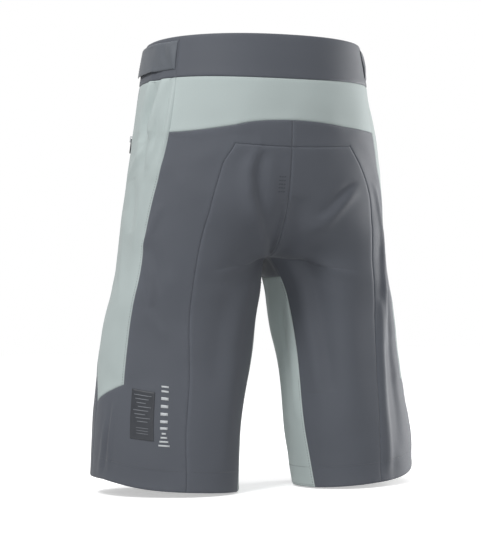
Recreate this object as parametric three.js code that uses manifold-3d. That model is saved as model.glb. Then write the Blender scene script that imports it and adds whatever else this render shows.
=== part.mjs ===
// Baggy trail-riding shorts with a contrast yoke, side panels and inner thighs.
// Millimetres, +Z up. The front faces -Y and the wearer's left is +X.
// The origin is the centre of the waist opening, at the top edge of the waistband.

import * as THREE from 'three';
import { mergeVertices } from 'three/addons/utils/BufferGeometryUtils.js';
import ManifoldModule from 'manifold-3d';

const manifold = await ManifoldModule();
manifold.setup();

// ---------------------------------------------------------------- driving sizes

const sideLength = 560;        // waist edge to hem, down the outside of the leg
const cloth = 1.6;             // thickness of a shell panel
const seamGap = 0.6;           // clear gap between two panels that meet at a seam
const layerGap = 0.3;          // clear gap between two layers that lie on each other
const transferGap = 1.1;       // the leg marks cross the facets of the cloth, so they lie this clear
const lining = 1.6;            // thickness of the waist and hem facings
const pocketing = 0.8;         // thickness of the pocket bag

// Torso: half widths and depths at stations down the body, as shares of the side length.
const torsoStations = [0, 0.09, 0.20, 0.33, 0.46, 0.60];
const torsoHalfWidth = [138, 148, 158, 167, 173, 173];
const torsoBackDepth = [112, 113, 115, 117, 117, 117];
const torsoFrontDepth = [106, 110, 112, 113, 113, 113];
const torsoRoundness = 2.25;   // superellipse power, 2 is an ellipse

// Legs: centre, half sizes and turn of the loop at stations from hip to hem.
const legStations = [0.30, 0.52, 0.64, 0.76, 0.88, 1.0];
const legCentreX = [86, 93, 107, 118, 126, 131];
const legCentreY = [-18, -18, -14, -6, 2, 8];
const legHalfWidth = [86, 88, 90, 92, 93, 93];
const legHalfDepth = [104, 98, 85, 76, 73, 70];
const legTurn = [0, -0.20, -0.45, -0.60, -0.60, -0.60];
const innerPanelHalfAngle = [0.50, 0.50, 0.48, 0.48, 0.52, 0.58];
const legRoundness = 2.15;

const blendFrom = 0.22;        // the torso starts to turn into two legs here
const blendTo = 0.60;          // and is two plain legs from here
const crotchStation = 0.52;
const crotchDrop = 271;        // waist edge to the middle of the gusset
const gussetHalfLength = 24;   // half the front-to-back length of the gusset at the middle
const crotchRounding = 0.16;   // how far below the crotch the inseams take to reach the legs
const hemSideLift = 14;        // the hem rides up on the outside of the leg
const hemTilt = 0.06;          // hem rise for each millimetre outwards

// Straight part of the front rise, which carries the fly.
const flyStraight = 0.36;
const flySlope = 0.03;
const flyFlatHalf = 48;        // flat strip each side of the front centre line
const flyBow = 0.0017;         // slight roundness of that strip
const flyWidth = 38;           // free edge of the fly flap to its hinge line

// Rows of the pattern, as shares of the side length: waist, band, yoke, strip, leg, hem.
const rowShare = [0, 0.046, 0.092, 0.134, 0.176, 0.229, 0.27, 0.31, 0.35, 0.39, 0.43, 0.475,
  crotchStation, 0.56, 0.60, 0.645, 0.695, 0.745, 0.79, 0.85, 0.905, 0.955, 1.0];
const row = { waist: 0, bandFoot: 2, yokeFoot: 4, stripFoot: 5, pocketTop: 4, pocketFoot: 10,
  flyFoot: 7, crotch: 12, gussetFoot: 13, sidePanelFoot: 18, facingTop: 21, hem: 22 };
const yokeDip = 0.024;         // the yoke seam drops this much towards the side panel
const sideFootRise = 0.016;    // the foot of the side panel is this much higher at its rear corner
const sideFootDrop = 0.033;    // and this much lower at its front corner
const sideFootFade = 14;       // column by which the row below it is level again

// Columns of the pattern, from the centre back seam round the outside to the front.
const column = { back: 0, seatSeam: 3, sideRear: 6, sideFront: 10, pocketFront: 11,
  flyHinge: 16, front: 18, around: 22 };
const seatSeam = [[0, 0.165], [0.229, 0.165], [0.27, 0.187], [0.32, 0.21], [0.40, 0.23],
  [0.50, 0.242], [0.75, 0.24], [0.85, 0.237], [1, 0.224]];
const sideRearSeam = [[0, 0.335], [0.22, 0.33], [0.30, 0.352], [0.38, 0.378], [0.46, 0.395],
  [0.56, 0.39], [0.68, 0.39], [0.79, 0.395], [1, 0.395]];
const sideFrontSeam = [[0, 0.56], [0.20, 0.57], [0.43, 0.58], [0.60, 0.585], [0.70, 0.56],
  [0.82, 0.51], [0.90, 0.512], [1, 0.53]];
const pocketSlotWidth = 16;

// Waist adjusters.
const adjusterTab = { from: 6.06, to: 10.6, top: 0.22, foot: 1.62, thickness: 1.6 };
const hookPad = { from: 8.2, to: 10.45, top: 0.36, foot: 1.48, thickness: 0.8 };
const loopPad = { from: 8.0, to: 13.2, top: 0.30, foot: 1.54, thickness: 1.0 };

// Zips: all sizes across, along and through the tape.
const tapeWidth = 10.8;
const tapeThickness = 0.8;
const zipChannel = 2.4;        // clear run between the tapes for the slider's neck
const sliderLength = 11;
const sliderWidth = 8;
const sliderPlate = 1.2;
const sliderNeck = 1.8;
const pullLength = 18;
const pullWidth = 6;
const pullThickness = 1.2;
const bridgeWidth = 2.4;
const bridgeHeight = 3.1;
const pocketTapeDepth = 3.4;   // tape face below the panel surface
const pocketPullHeight = 0.9;  // top plate of the slider above the panel surface
const flyZipX = 19;
const flyTapeDepth = 7.5;
const flyPullDepth = 5.2;
const flyZipLength = 118;

// Snap fastener of the waistband.
const snap = { x: 19, radius: 7.5, socketRadius: 6.5, post: 2.2, hole: 2.7 };

// ---------------------------------------------------------------- the body surface

// Smooth curve through a few stations.
function curve(stations, values) {
  const count = stations.length;
  const slope = [];
  for (let i = 0; i < count - 1; i++) {
    slope.push((values[i + 1] - values[i]) / (stations[i + 1] - stations[i]));
  }
  const tangent = [slope[0]];
  for (let i = 1; i < count - 1; i++) {
    const before = stations[i] - stations[i - 1];
    const after = stations[i + 1] - stations[i];
    tangent.push((slope[i - 1] * after + slope[i] * before) / (before + after));
  }
  tangent.push(slope[count - 2]);
  return (v) => {
    let i = 0;
    while (i < count - 2 && v > stations[i + 1]) i++;
    const h = stations[i + 1] - stations[i];
    const t = (v - stations[i]) / h;
    const hold = t * t * (3 - 2 * t);
    return (1 - hold) * values[i] + hold * values[i + 1]
      + t * (1 - t) * (1 - t) * h * tangent[i] - t * t * (1 - t) * h * tangent[i + 1];
  };
}

const clamp01 = (t) => Math.min(1, Math.max(0, t));
const smooth = (t) => clamp01(t) ** 2 * (3 - 2 * clamp01(t));
const mix = (a, b, t) => a + (b - a) * t;
const signedPower = (x, p) => Math.sign(x) * Math.abs(x) ** p;

const torso = {
  halfWidth: curve(torsoStations, torsoHalfWidth),
  back: curve(torsoStations, torsoBackDepth),
  front: curve(torsoStations, torsoFrontDepth),
};
const leg = {
  x: curve(legStations, legCentreX),
  y: curve(legStations, legCentreY),
  halfWidth: curve(legStations, legHalfWidth),
  halfDepth: curve(legStations, legHalfDepth),
  turn: curve(legStations, legTurn),
  innerAngle: curve(legStations, innerPanelHalfAngle),
};

function torsoLoop(s, v) {
  const angle = Math.PI / 2 - Math.PI * s;
  const depth = Math.sin(angle) >= 0 ? torso.back(v) : torso.front(v);
  const power = 2 / torsoRoundness;
  return [torso.halfWidth(v) * signedPower(Math.cos(angle), power),
    depth * signedPower(Math.sin(angle), power)];
}

function legLoop(angle, v) {
  const station = Math.max(v, legStations[0]);
  const power = 2 / legRoundness;
  const turn = leg.turn(station);
  const across = leg.halfWidth(station) * signedPower(Math.cos(angle - turn), power);
  const along = leg.halfDepth(station) * signedPower(Math.sin(angle - turn), power);
  return [leg.x(station) + across * Math.cos(turn) - along * Math.sin(turn),
    leg.y(station) + across * Math.sin(turn) + along * Math.cos(turn)];
}

function outerAngle(s, v) {
  const half = leg.innerAngle(Math.max(v, legStations[0]));
  return Math.PI - half - (2 * Math.PI - 2 * half) * s;
}

// Height of a point of a row: level at the waist, lifted at the outside of the hem.
function rowHeight(x, y, v) {
  const low = smooth((v - 0.6) / 0.4);
  const out = (x - leg.x(Math.max(v, crotchStation))) / leg.halfWidth(Math.max(v, crotchStation));
  const lift = hemTilt * (x - leg.x(1)) + hemSideLift * Math.max(0, out) ** 3;
  return -sideLength * v + low * lift;
}

function bezier(points, count = 80) {
  const path = new THREE.CubicBezierCurve3(...points.map(([y, z]) => new THREE.Vector3(0, y, z)));
  path.arcLengthDivisions = count;
  return (t) => {
    const point = path.getPointAt(clamp01(t));
    return [point.y, point.z];
  };
}

const backRise = bezier([[torsoBackDepth[0], 0], [144, -0.49 * crotchDrop],
  [112, -crotchDrop], [gussetHalfLength, -crotchDrop]]);
const flyFootZ = -sideLength * flyStraight;
const flyFootY = -torsoFrontDepth[0] + flySlope * flyFootZ;
const frontCurve = bezier([[flyFootY, flyFootZ], [flyFootY - 3, flyFootZ - 46],
  [-88, -crotchDrop], [-gussetHalfLength, -crotchDrop]]);

function riseAt(v, isBack) {
  if (isBack) return backRise(v / crotchStation);
  if (v <= flyStraight) {
    const z = -sideLength * v;
    return [-torsoFrontDepth[0] + flySlope * z, z];
  }
  return frontCurve((v - flyStraight) / (crotchStation - flyStraight));
}

// The centre seam down to the crotch, then the inseam of the leg.
function edgeAt(v, isBack) {
  const [riseY, riseZ] = riseAt(Math.min(v, crotchStation), isBack);
  if (v <= crotchStation) return [0, riseY, riseZ];
  const [x, y] = legLoop(outerAngle(isBack ? 0 : 1, v), v);
  const t = (v - crotchStation) / crotchRounding;
  const round = Math.sqrt(clamp01(t) * (2 - clamp01(t)));
  const w = smooth(t);
  const z = mix(-crotchDrop - sideLength * (v - crotchStation), rowHeight(x, y, v), w);
  return [x * round, mix(riseY, y, w), z];
}

function plainOuter(s, v) {
  const w = smooth((v - blendFrom) / (blendTo - blendFrom));
  const [torsoX, torsoY] = torsoLoop(s, v);
  const [legX, legY] = legLoop(outerAngle(s, v), v);
  const x = mix(torsoX, legX, w);
  const y = mix(torsoY, legY, w);
  return [x, y, rowHeight(x, y, v)];
}

// Outside surface of the left half: s runs from the centre back (0) to the front (1).
function outerAt(s, v) {
  const point = plainOuter(s, v);
  for (const isBack of [true, false]) {
    const end = isBack ? 0 : 1;
    const reach = mix(0.36, 0.24, smooth((v - 0.30) / 0.20));
    const pull = 1 - smooth(Math.abs(s - end) / reach);
    if (pull <= 0) continue;
    const from = plainOuter(end, v);
    const to = edgeAt(v, isBack);
    for (let k = 0; k < 3; k++) point[k] += (to[k] - from[k]) * pull;
  }
  const beside = 1 - smooth((Math.abs(point[0]) - flyFlatHalf) / 45);
  const above = 1 - smooth((v - flyStraight) / 0.10);
  if (s > 0.6 && beside * above > 0) {
    const flatY = -torsoFrontDepth[0] + flySlope * point[2] + flyBow * point[0] ** 2;
    point[1] = mix(point[1], flatY, beside * above);
  }
  return point;
}

// Inner-thigh surface: t runs from the back inseam (0) to the front inseam (1).
function innerAt(t, v) {
  const half = leg.innerAngle(v);
  const back = edgeAt(v, true);
  const front = edgeAt(v, false);
  const ends = [Math.PI - half, Math.PI + half].map((angle) => legLoop(angle, v));
  const [x, y] = legLoop(Math.PI - half + 2 * half * t, v);
  const w = smooth((v - crotchStation) / crotchRounding);
  const bow = [x - mix(ends[0][0], ends[1][0], t), y - mix(ends[0][1], ends[1][1], t), 0];
  return back.map((value, k) => mix(value, front[k], t) + bow[k] * w);
}

// ---------------------------------------------------------------- the pattern grid

function along(table, v) {
  let i = 0;
  while (i < table.length - 2 && v > table[i + 1][0]) i++;
  const [v0, s0] = table[i];
  const [v1, s1] = table[i + 1];
  return mix(s0, s1, clamp01((v - v0) / (v1 - v0)));
}

function findS(test, low, high) {
  let a = low;
  let b = high;
  for (let i = 0; i < 40; i++) {
    const middle = (a + b) / 2;
    if (test(middle)) b = middle;
    else a = middle;
  }
  return (a + b) / 2;
}

// The s value of each main column at height v.
function columnStations(v) {
  const seat = along(seatSeam, v);
  const rear = along(sideRearSeam, v);
  const side = along(sideFrontSeam, v);
  const start = new THREE.Vector3(...outerAt(side, v));
  const reached = (s) => start.distanceTo(new THREE.Vector3(...outerAt(s, v))) > pocketSlotWidth;
  const slot = findS(reached, side, side + 0.2);
  const station = Math.min(v, flyStraight);
  const hinge = findS((s) => outerAt(s, station)[0] < flyWidth, 0.75, 1);
  return [[column.back, 0], [column.seatSeam, seat], [column.sideRear, rear],
    [column.sideFront, side], [column.pocketFront, slot], [column.flyHinge, hinge],
    [column.front, 1]];
}

function rowStation(r, c) {
  const dip = r > row.bandFoot && r < row.stripFoot
    ? yokeDip * smooth(c / column.sideRear) * (r - row.bandFoot) / 2 : 0;
  const foot = [[column.seatSeam, 0], [column.sideRear, -sideFootRise],
    [column.sideFront, sideFootDrop], [sideFootFade, 0]];
  const slope = r === row.sidePanelFoot ? along(foot, c) : 0;
  return rowShare[r] + dip + slope;
}

function gridPoint(c, r) {
  const v = rowStation(r, c);
  if (c > column.front) {
    return innerAt(1 - (c - column.front) / (column.around - column.front), v);
  }
  return outerAt(along(columnStations(v), c), v);
}

const grid = [];
for (let r = 0; r <= row.hem; r++) {
  const last = r >= row.crotch ? column.around : column.front;
  grid.push([]);
  for (let c = 0; c <= last; c++) {
    grid[r].push({ point: new THREE.Vector3(...gridPoint(c, r)), normal: new THREE.Vector3() });
  }
}

function spotOf(c, r) {
  const isAround = r >= row.crotch && c === column.around;
  return grid[r][isAround ? 0 : c];
}

for (let r = 0; r < row.hem; r++) {
  const last = r >= row.crotch ? column.around : column.front;
  for (let c = 0; c < last; c++) {
    const spots = [spotOf(c, r), spotOf(c + 1, r), spotOf(c + 1, r + 1), spotOf(c, r + 1)];
    const first = spots[2].point.clone().sub(spots[0].point);
    const second = spots[3].point.clone().sub(spots[1].point);
    const face = first.cross(second);
    for (const spot of spots) spot.normal.add(face);
  }
}
for (const [r, spots] of grid.entries()) {
  for (const [c, spot] of spots.entries()) {
    const isMiddle = r <= row.crotch && (c === 0 || c >= column.front);
    if (isMiddle) {
      spot.normal.x = 0;
      spot.point.x = 0;
    }
    spot.normal.normalize();
  }
}

// A point and normal anywhere on the faceted body. Side is +1 for the left half, -1 for the right.
function spotAt(side, c, r) {
  const c0 = Math.min(Math.floor(c), column.front - 1);
  const r0 = Math.min(Math.floor(r), row.hem - 1);
  const corners = [spotOf(c0, r0), spotOf(c0 + 1, r0), spotOf(c0, r0 + 1), spotOf(c0 + 1, r0 + 1)];
  const blend = (key) => {
    const top = corners[0][key].clone().lerp(corners[1][key], c - c0);
    const foot = corners[2][key].clone().lerp(corners[3][key], c - c0);
    const value = top.lerp(foot, r - r0);
    value.x *= side;
    return value;
  };
  return { point: blend('point'), normal: blend('normal').normalize() };
}

// ---------------------------------------------------------------- meshes

const shorts = new THREE.Group();
shorts.name = 'trail_shorts';

const slate = { color: '#5a5e66', roughness: 0.85, metalness: 0 };
const slateBand = { color: '#575c63', roughness: 0.85, metalness: 0 };
const slateTab = { color: '#6b7279', roughness: 0.8, metalness: 0 };
const mint = { color: '#a7b1b0', roughness: 0.8, metalness: 0 };
const liningGrey = { color: '#3f4349', roughness: 0.9, metalness: 0 };
const black = { color: '#24272b', roughness: 0.7, metalness: 0 };
const rubberGrey = { color: '#7f868b', roughness: 0.6, metalness: 0 };
const silver = { color: '#c9ced1', roughness: 0.45, metalness: 0.1 };
const metal = { color: '#7d8185', roughness: 0.4, metalness: 0.8 };

function addMesh(name, geometry, look) {
  const mesh = new THREE.Mesh(geometry, new THREE.MeshStandardMaterial(look));
  mesh.name = name;
  shorts.add(mesh);
  return mesh;
}

function geometryOf(points, triangles) {
  const geometry = new THREE.BufferGeometry();
  geometry.setAttribute('position', new THREE.Float32BufferAttribute(points.flat(), 3));
  geometry.setIndex(triangles.flat());
  geometry.computeVertexNormals();
  return geometry;
}

// Turns one layer of quads into a closed sheet. A vertex has its inner and outer point.
function sheetGeometry(vertices, quads) {
  const points = [];
  const triangles = [];
  for (const { inner, outer } of vertices) points.push(outer.toArray(), inner.toArray());
  const edges = new Map();
  for (const quad of quads) {
    const [a, b, c, d] = quad;
    triangles.push([2 * a, 2 * b, 2 * c], [2 * a, 2 * c, 2 * d]);
    triangles.push([2 * a + 1, 2 * c + 1, 2 * b + 1], [2 * a + 1, 2 * d + 1, 2 * c + 1]);
    quad.forEach((from, k) => edges.set(`${from},${quad[(k + 1) % 4]}`, [from, quad[(k + 1) % 4]]));
  }
  for (const [from, to] of edges.values()) {
    if (edges.has(`${to},${from}`)) continue;
    triangles.push([2 * from, 2 * from + 1, 2 * to + 1], [2 * from, 2 * to + 1, 2 * to]);
  }
  return geometryOf(points, triangles);
}

// Cells of the pattern grid: columns c0 to c1 and rows r0 to r1 of one side.
function block(side, c0, c1, r0, r1) {
  const cells = [];
  for (let r = r0; r < r1; r++) {
    for (let c = c0; c < c1; c++) cells.push({ side, c, r });
  }
  return cells;
}

// A panel is a set of cells. Its rim is drawn in by half the seam gap.
function panel(name, cells, look, options = {}) {
  const { inner = -cloth / 2, outer = cloth / 2, depth = () => 0 } = options;
  const byKey = new Map();
  const vertexOf = (side, c, r) => {
    const wrapped = r >= row.crotch && c === column.around ? 0 : c;
    const isMiddle = r <= row.crotch && (wrapped === 0 || wrapped >= column.front);
    const key = `${isMiddle ? 0 : side},${wrapped},${r}`;
    if (!byKey.has(key)) {
      const spot = grid[r][wrapped];
      byKey.set(key, { index: byKey.size, point: spot.point.clone().multiply(new THREE.Vector3(side, 1, 1)),
        normal: spot.normal.clone().multiply(new THREE.Vector3(side, 1, 1)), c: wrapped, r, side,
        inward: new THREE.Vector3(), count: 0 });
    }
    return byKey.get(key);
  };
  const quads = cells.map(({ side, c, r }) => {
    const loop = [vertexOf(side, c, r), vertexOf(side, c + 1, r),
      vertexOf(side, c + 1, r + 1), vertexOf(side, c, r + 1)];
    return side > 0 ? loop : loop.reverse();
  });
  const edges = new Set();
  for (const quad of quads) {
    quad.forEach((from, k) => edges.add(`${from.index},${quad[(k + 1) % 4].index}`));
  }
  const onRim = new Set();
  for (const edge of edges) {
    const [from, to] = edge.split(',');
    if (!edges.has(`${to},${from}`)) {
      onRim.add(Number(from));
      onRim.add(Number(to));
    }
  }
  for (const quad of quads) {
    const middle = new THREE.Vector3();
    for (const vertex of quad) middle.addScaledVector(vertex.point, 0.25);
    for (const vertex of quad) {
      vertex.inward.add(middle.clone().sub(vertex.point).normalize());
      vertex.count += 1;
    }
  }
  const vertices = [...byKey.values()].map((vertex) => {
    const { point, normal, inward } = vertex;
    const place = point.clone();
    if (onRim.has(vertex.index)) {
      inward.addScaledVector(normal, -inward.dot(normal)).normalize();
      const corner = vertex.count === 2 ? 1 : Math.SQRT2;
      place.addScaledVector(inward, seamGap / 2 * corner);
    }
    const sunk = depth(vertex.c, vertex.r, vertex.side, onRim.has(vertex.index));
    return { inner: place.clone().addScaledVector(normal, inner - sunk),
      outer: place.clone().addScaledVector(normal, outer - sunk) };
  });
  return addMesh(name, sheetGeometry(vertices, quads.map((quad) => quad.map((v) => v.index))), look);
}

// A small sheet laid on the body. Its columns may cross the centre: negative is the right half.
function patch(name, columns, rows, spotOffset, look, slant = () => 0) {
  const vertices = [];
  for (const r of rows) {
    for (const c of columns) {
      const place = c + slant(r);
      const { point, normal } = spotAt(place < 0 ? -1 : 1, Math.abs(place), r);
      const [inner, outer] = spotOffset(Math.abs(c), r);
      vertices.push({ inner: point.clone().addScaledVector(normal, inner),
        outer: point.clone().addScaledVector(normal, outer) });
    }
  }
  const quads = [];
  for (let j = 0; j < rows.length - 1; j++) {
    for (let i = 0; i < columns.length - 1; i++) {
      const a = j * columns.length + i;
      quads.push([a, a + 1, a + columns.length + 1, a + columns.length]);
    }
  }
  return addMesh(name, sheetGeometry(vertices, quads), look);
}

// Whole numbers between two places, with the two ends.
function steps(from, to) {
  const list = [from];
  for (let k = Math.floor(from) + 1; k < to; k++) list.push(k);
  list.push(to);
  return list;
}

function joined(geometries) {
  const solids = geometries.map((geometry) => solidOf(geometry));
  return geometryFrom(manifold.Manifold.union(solids));
}

function solidOf(geometry) {
  const bare = new THREE.BufferGeometry();
  bare.setAttribute('position', geometry.attributes.position.clone());
  bare.setIndex(geometry.index);
  const { index, attributes } = mergeVertices(bare, 1e-4);
  return new manifold.Manifold(new manifold.Mesh({ numProp: 3,
    vertProperties: new Float32Array(attributes.position.array), triVerts: new Uint32Array(index.array) }));
}

function geometryFrom(solid) {
  const { vertProperties, triVerts, numProp } = solid.getMesh();
  const geometry = new THREE.BufferGeometry();
  const points = [];
  for (let i = 0; i < vertProperties.length; i += numProp) points.push(...vertProperties.slice(i, i + 3));
  geometry.setAttribute('position', new THREE.Float32BufferAttribute(points, 3));
  geometry.setIndex([...triVerts]);
  geometry.computeVertexNormals();
  return geometry;
}

function box(width, length, z0, z1, y = 0, x = 0) {
  return new THREE.BoxGeometry(width, length, z1 - z0).translate(x, y, (z0 + z1) / 2);
}

function disc(radius, z0, z1, sides = 24) {
  return new THREE.CylinderGeometry(radius, radius, z1 - z0, sides)
    .rotateX(Math.PI / 2).translate(0, 0, (z0 + z1) / 2);
}

function extrude(outline, holes, thickness) {
  const shape = new THREE.Shape(outline.map(([x, y]) => new THREE.Vector2(x, y)));
  for (const hole of holes) shape.holes.push(new THREE.Path(hole.map(([x, y]) => new THREE.Vector2(x, y))));
  return new THREE.ExtrudeGeometry(shape, { depth: thickness, bevelEnabled: false });
}

// ---------------------------------------------------------------- waistband

const sides = [['left', 1], ['right', -1]];
const bandRows = [row.waist, row.bandFoot];

function buildWaistband() {
  panel('waistband_back', [...block(1, 0, column.sideRear, ...bandRows),
    ...block(-1, 0, column.sideRear, ...bandRows)], slateBand);
  panel('waistband_front_left', block(1, column.sideRear, column.flyHinge, ...bandRows), slateBand);
  panel('waistband_front_right', block(-1, column.sideRear, column.front, ...bandRows), slateBand);
  const under = { outer: -cloth / 2 - layerGap, inner: -cloth / 2 - layerGap - lining };
  panel('waistband_facing', [...block(1, 0, column.flyHinge, ...bandRows),
    ...block(-1, 0, column.front - 1, ...bandRows)], liningGrey, under);
  const gripperOuter = under.inner - layerGap;
  const gripColumns = [...steps(0, 10.5).reverse().map((c) => -c), ...steps(0, 10.5).slice(1)];
  patch('gripper_tape', gripColumns, [0.5, 1, 1.3], () => [gripperOuter - 0.8, gripperOuter], rubberGrey);
  patch('size_label', [-1.1, 0, 1.1], [1.45, 2, 2.8], () => [gripperOuter - 0.6, gripperOuter], silver);
}

function buildAdjusters() {
  const loopInner = cloth / 2 + layerGap;
  const hookInner = loopInner + loopPad.thickness + layerGap;
  const tabInner = hookInner + hookPad.thickness + layerGap;
  for (const [label, side] of sides) {
    const strip = (name, part, offsets, look) => {
      const columns = steps(part.from, part.to);
      const ordered = side > 0 ? columns : columns.map((c) => -c).reverse();
      return patch(`${name}_${label}`, ordered, [part.top, 1, part.foot], offsets, look);
    };
    const lift = (c) => mix(loopInner, tabInner, smooth((c - 6.9) / 1.1));
    const tab = strip('adjuster_tab', adjusterTab, (c) => [lift(c), lift(c) + adjusterTab.thickness], slateTab);
    strip('hook_pad', hookPad, () => [hookInner, hookInner + hookPad.thickness], black);
    strip('loop_pad', loopPad, () => [loopInner, loopInner + loopPad.thickness], black);
    const root = [adjusterTab.top, adjusterTab.foot].map((r) => {
      const { point, normal } = spotAt(side, adjusterTab.from, r);
      return point.addScaledVector(normal, lift(adjusterTab.from) + adjusterTab.thickness);
    });
    tab.userData = { pivot: root[0], axis: root[1].clone().sub(root[0]).normalize() };
  }
}

// ---------------------------------------------------------------- shell panels

function buildPanels() {
  panel('back_yoke', [...block(1, 0, column.sideRear, row.bandFoot, row.yokeFoot),
    ...block(-1, 0, column.sideRear, row.bandFoot, row.yokeFoot)], mint);
  panel('crotch_gusset', [...block(1, column.front, column.around, row.crotch, row.gussetFoot),
    ...block(-1, column.front, column.around, row.crotch, row.gussetFoot)], slate);
  for (const [label, side] of sides) {
    panel(`outer_back_${label}`, [...block(side, 0, column.sideRear, row.yokeFoot, row.stripFoot),
      ...block(side, column.seatSeam, column.sideRear, row.stripFoot, row.hem),
      ...block(side, column.sideRear, column.sideFront, row.sidePanelFoot, row.hem)], slate);
    panel(`seat_leg_${label}`, block(side, 0, column.seatSeam, row.stripFoot, row.hem), slate);
    panel(`side_panel_${label}`,
      block(side, column.sideRear, column.sideFront, row.bandFoot, row.sidePanelFoot), mint);
    panel(`inner_thigh_${label}`, block(side, column.front, column.around, row.gussetFoot, row.hem), mint);
    const isFly = ({ c, r }) => side > 0 && c >= column.flyHinge && r < row.flyFoot;
    const isSlot = ({ c, r }) => c === column.sideFront && r >= row.pocketTop && r < row.pocketFoot;
    const cells = block(side, column.sideFront, column.front, row.bandFoot, row.hem)
      .filter((cell) => !isFly(cell) && !isSlot(cell));
    panel(`front_panel_${label}`, cells, slate);
    const facing = { outer: -cloth / 2 - layerGap, inner: -cloth / 2 - layerGap - lining };
    panel(`hem_facing_${label}`, block(side, 0, column.around, row.facingTop, row.hem), liningGrey, facing);
  }
}

// ---------------------------------------------------------------- zips

// A local frame on the body: x across the zip, y up along it, z out of the cloth.
function frameOn(top, foot, outward) {
  const up = top.clone().sub(foot).normalize();
  const out = outward.clone().addScaledVector(up, -outward.dot(up)).normalize();
  const across = up.clone().cross(out);
  const matrix = new THREE.Matrix4().makeBasis(across, up, out);
  return matrix.setPosition(top.clone().add(foot).multiplyScalar(0.5));
}

function zipSlider(tapeFace, plateTop) {
  const tapeBack = tapeFace - tapeThickness;
  const topPlate = box(sliderWidth, sliderLength, tapeFace + layerGap, plateTop);
  const neck = box(sliderNeck, sliderLength - 2, tapeBack - layerGap - sliderPlate / 2, plateTop - 0.2);
  const backPlate = box(sliderWidth, sliderLength, tapeBack - layerGap - sliderPlate, tapeBack - layerGap);
  const arch = extrude([[-4, -0.4], [4, -0.4], [4, bridgeHeight], [-4, bridgeHeight]],
    [[[-2.6, 0], [-2.6, 2], [2.6, 2], [2.6, 0]]], bridgeWidth);
  arch.rotateX(Math.PI / 2).rotateZ(Math.PI / 2).translate(-bridgeWidth / 2, 0, plateTop);
  return joined([topPlate, neck, backPlate, arch]);
}

// The pull hangs from a bar that runs under the slider's bridge.
function zipPull(plateTop) {
  const half = pullWidth / 2;
  const outline = [[-half, 0.7], [-half, 2 - pullLength], [2 - half, -pullLength], [half - 2, -pullLength],
    [half, 2 - pullLength], [half, 0.7]];
  const eye = [[-1.6, -0.7], [1.6, -0.7], [1.6, -5.6], [-1.6, -5.6]];
  return extrude(outline, [eye], pullThickness).translate(0, 0, plateTop + 1 - pullThickness / 2);
}

function buildPocket(label, side) {
  const middle = (column.sideFront + column.pocketFront) / 2;
  const top = spotAt(side, middle, row.pocketTop);
  const foot = spotAt(side, middle, row.pocketFoot);
  const frame = frameOn(top.point, foot.point, top.normal.clone().add(foot.normal));
  const length = top.point.distanceTo(foot.point);
  const tapeX = (zipChannel + tapeWidth) / 2;
  const parts = { rear: side, front: -side };
  for (const [place, direction] of Object.entries(parts)) {
    const tape = box(tapeWidth, length + 8, -pocketTapeDepth - tapeThickness, -pocketTapeDepth,
      0, tapeX * direction);
    addMesh(`pocket_tape_${place}_${label}`, tape, black).applyMatrix4(frame);
  }
  const sliderY = length / 2 - sliderLength / 2 - 1.5;
  const slider = zipSlider(-pocketTapeDepth, pocketPullHeight).translate(0, sliderY, 0);
  const pull = zipPull(pocketPullHeight).translate(0, sliderY, 0);
  const down = new THREE.Vector3(0, -1, 0).transformDirection(frame);
  const across = new THREE.Vector3(1, 0, 0).transformDirection(frame);
  const sliderMesh = addMesh(`pocket_slider_${label}`, slider, metal);
  sliderMesh.applyMatrix4(frame);
  sliderMesh.userData = { axis: down, travel: length - sliderLength - 3 };
  const pullMesh = addMesh(`pocket_pull_${label}`, pull, black);
  pullMesh.applyMatrix4(frame);
  pullMesh.userData = { pivot: new THREE.Vector3(0, sliderY, pocketPullHeight + 1).applyMatrix4(frame),
    axis: across.negate() };
  const bagDepth = 9;
  const rise = (c, r, s, isRim) => (isRim ? 0 : bagDepth);
  const outer = -cloth / 2 - layerGap;
  const bagRows = [row.bandFoot + 1, row.crotch - 1];
  panel(`pocket_bag_${label}`, block(side, column.sideRear + 1, column.flyHinge - 2, ...bagRows),
    liningGrey, { outer, inner: outer - pocketing, depth: rise });
}

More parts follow.
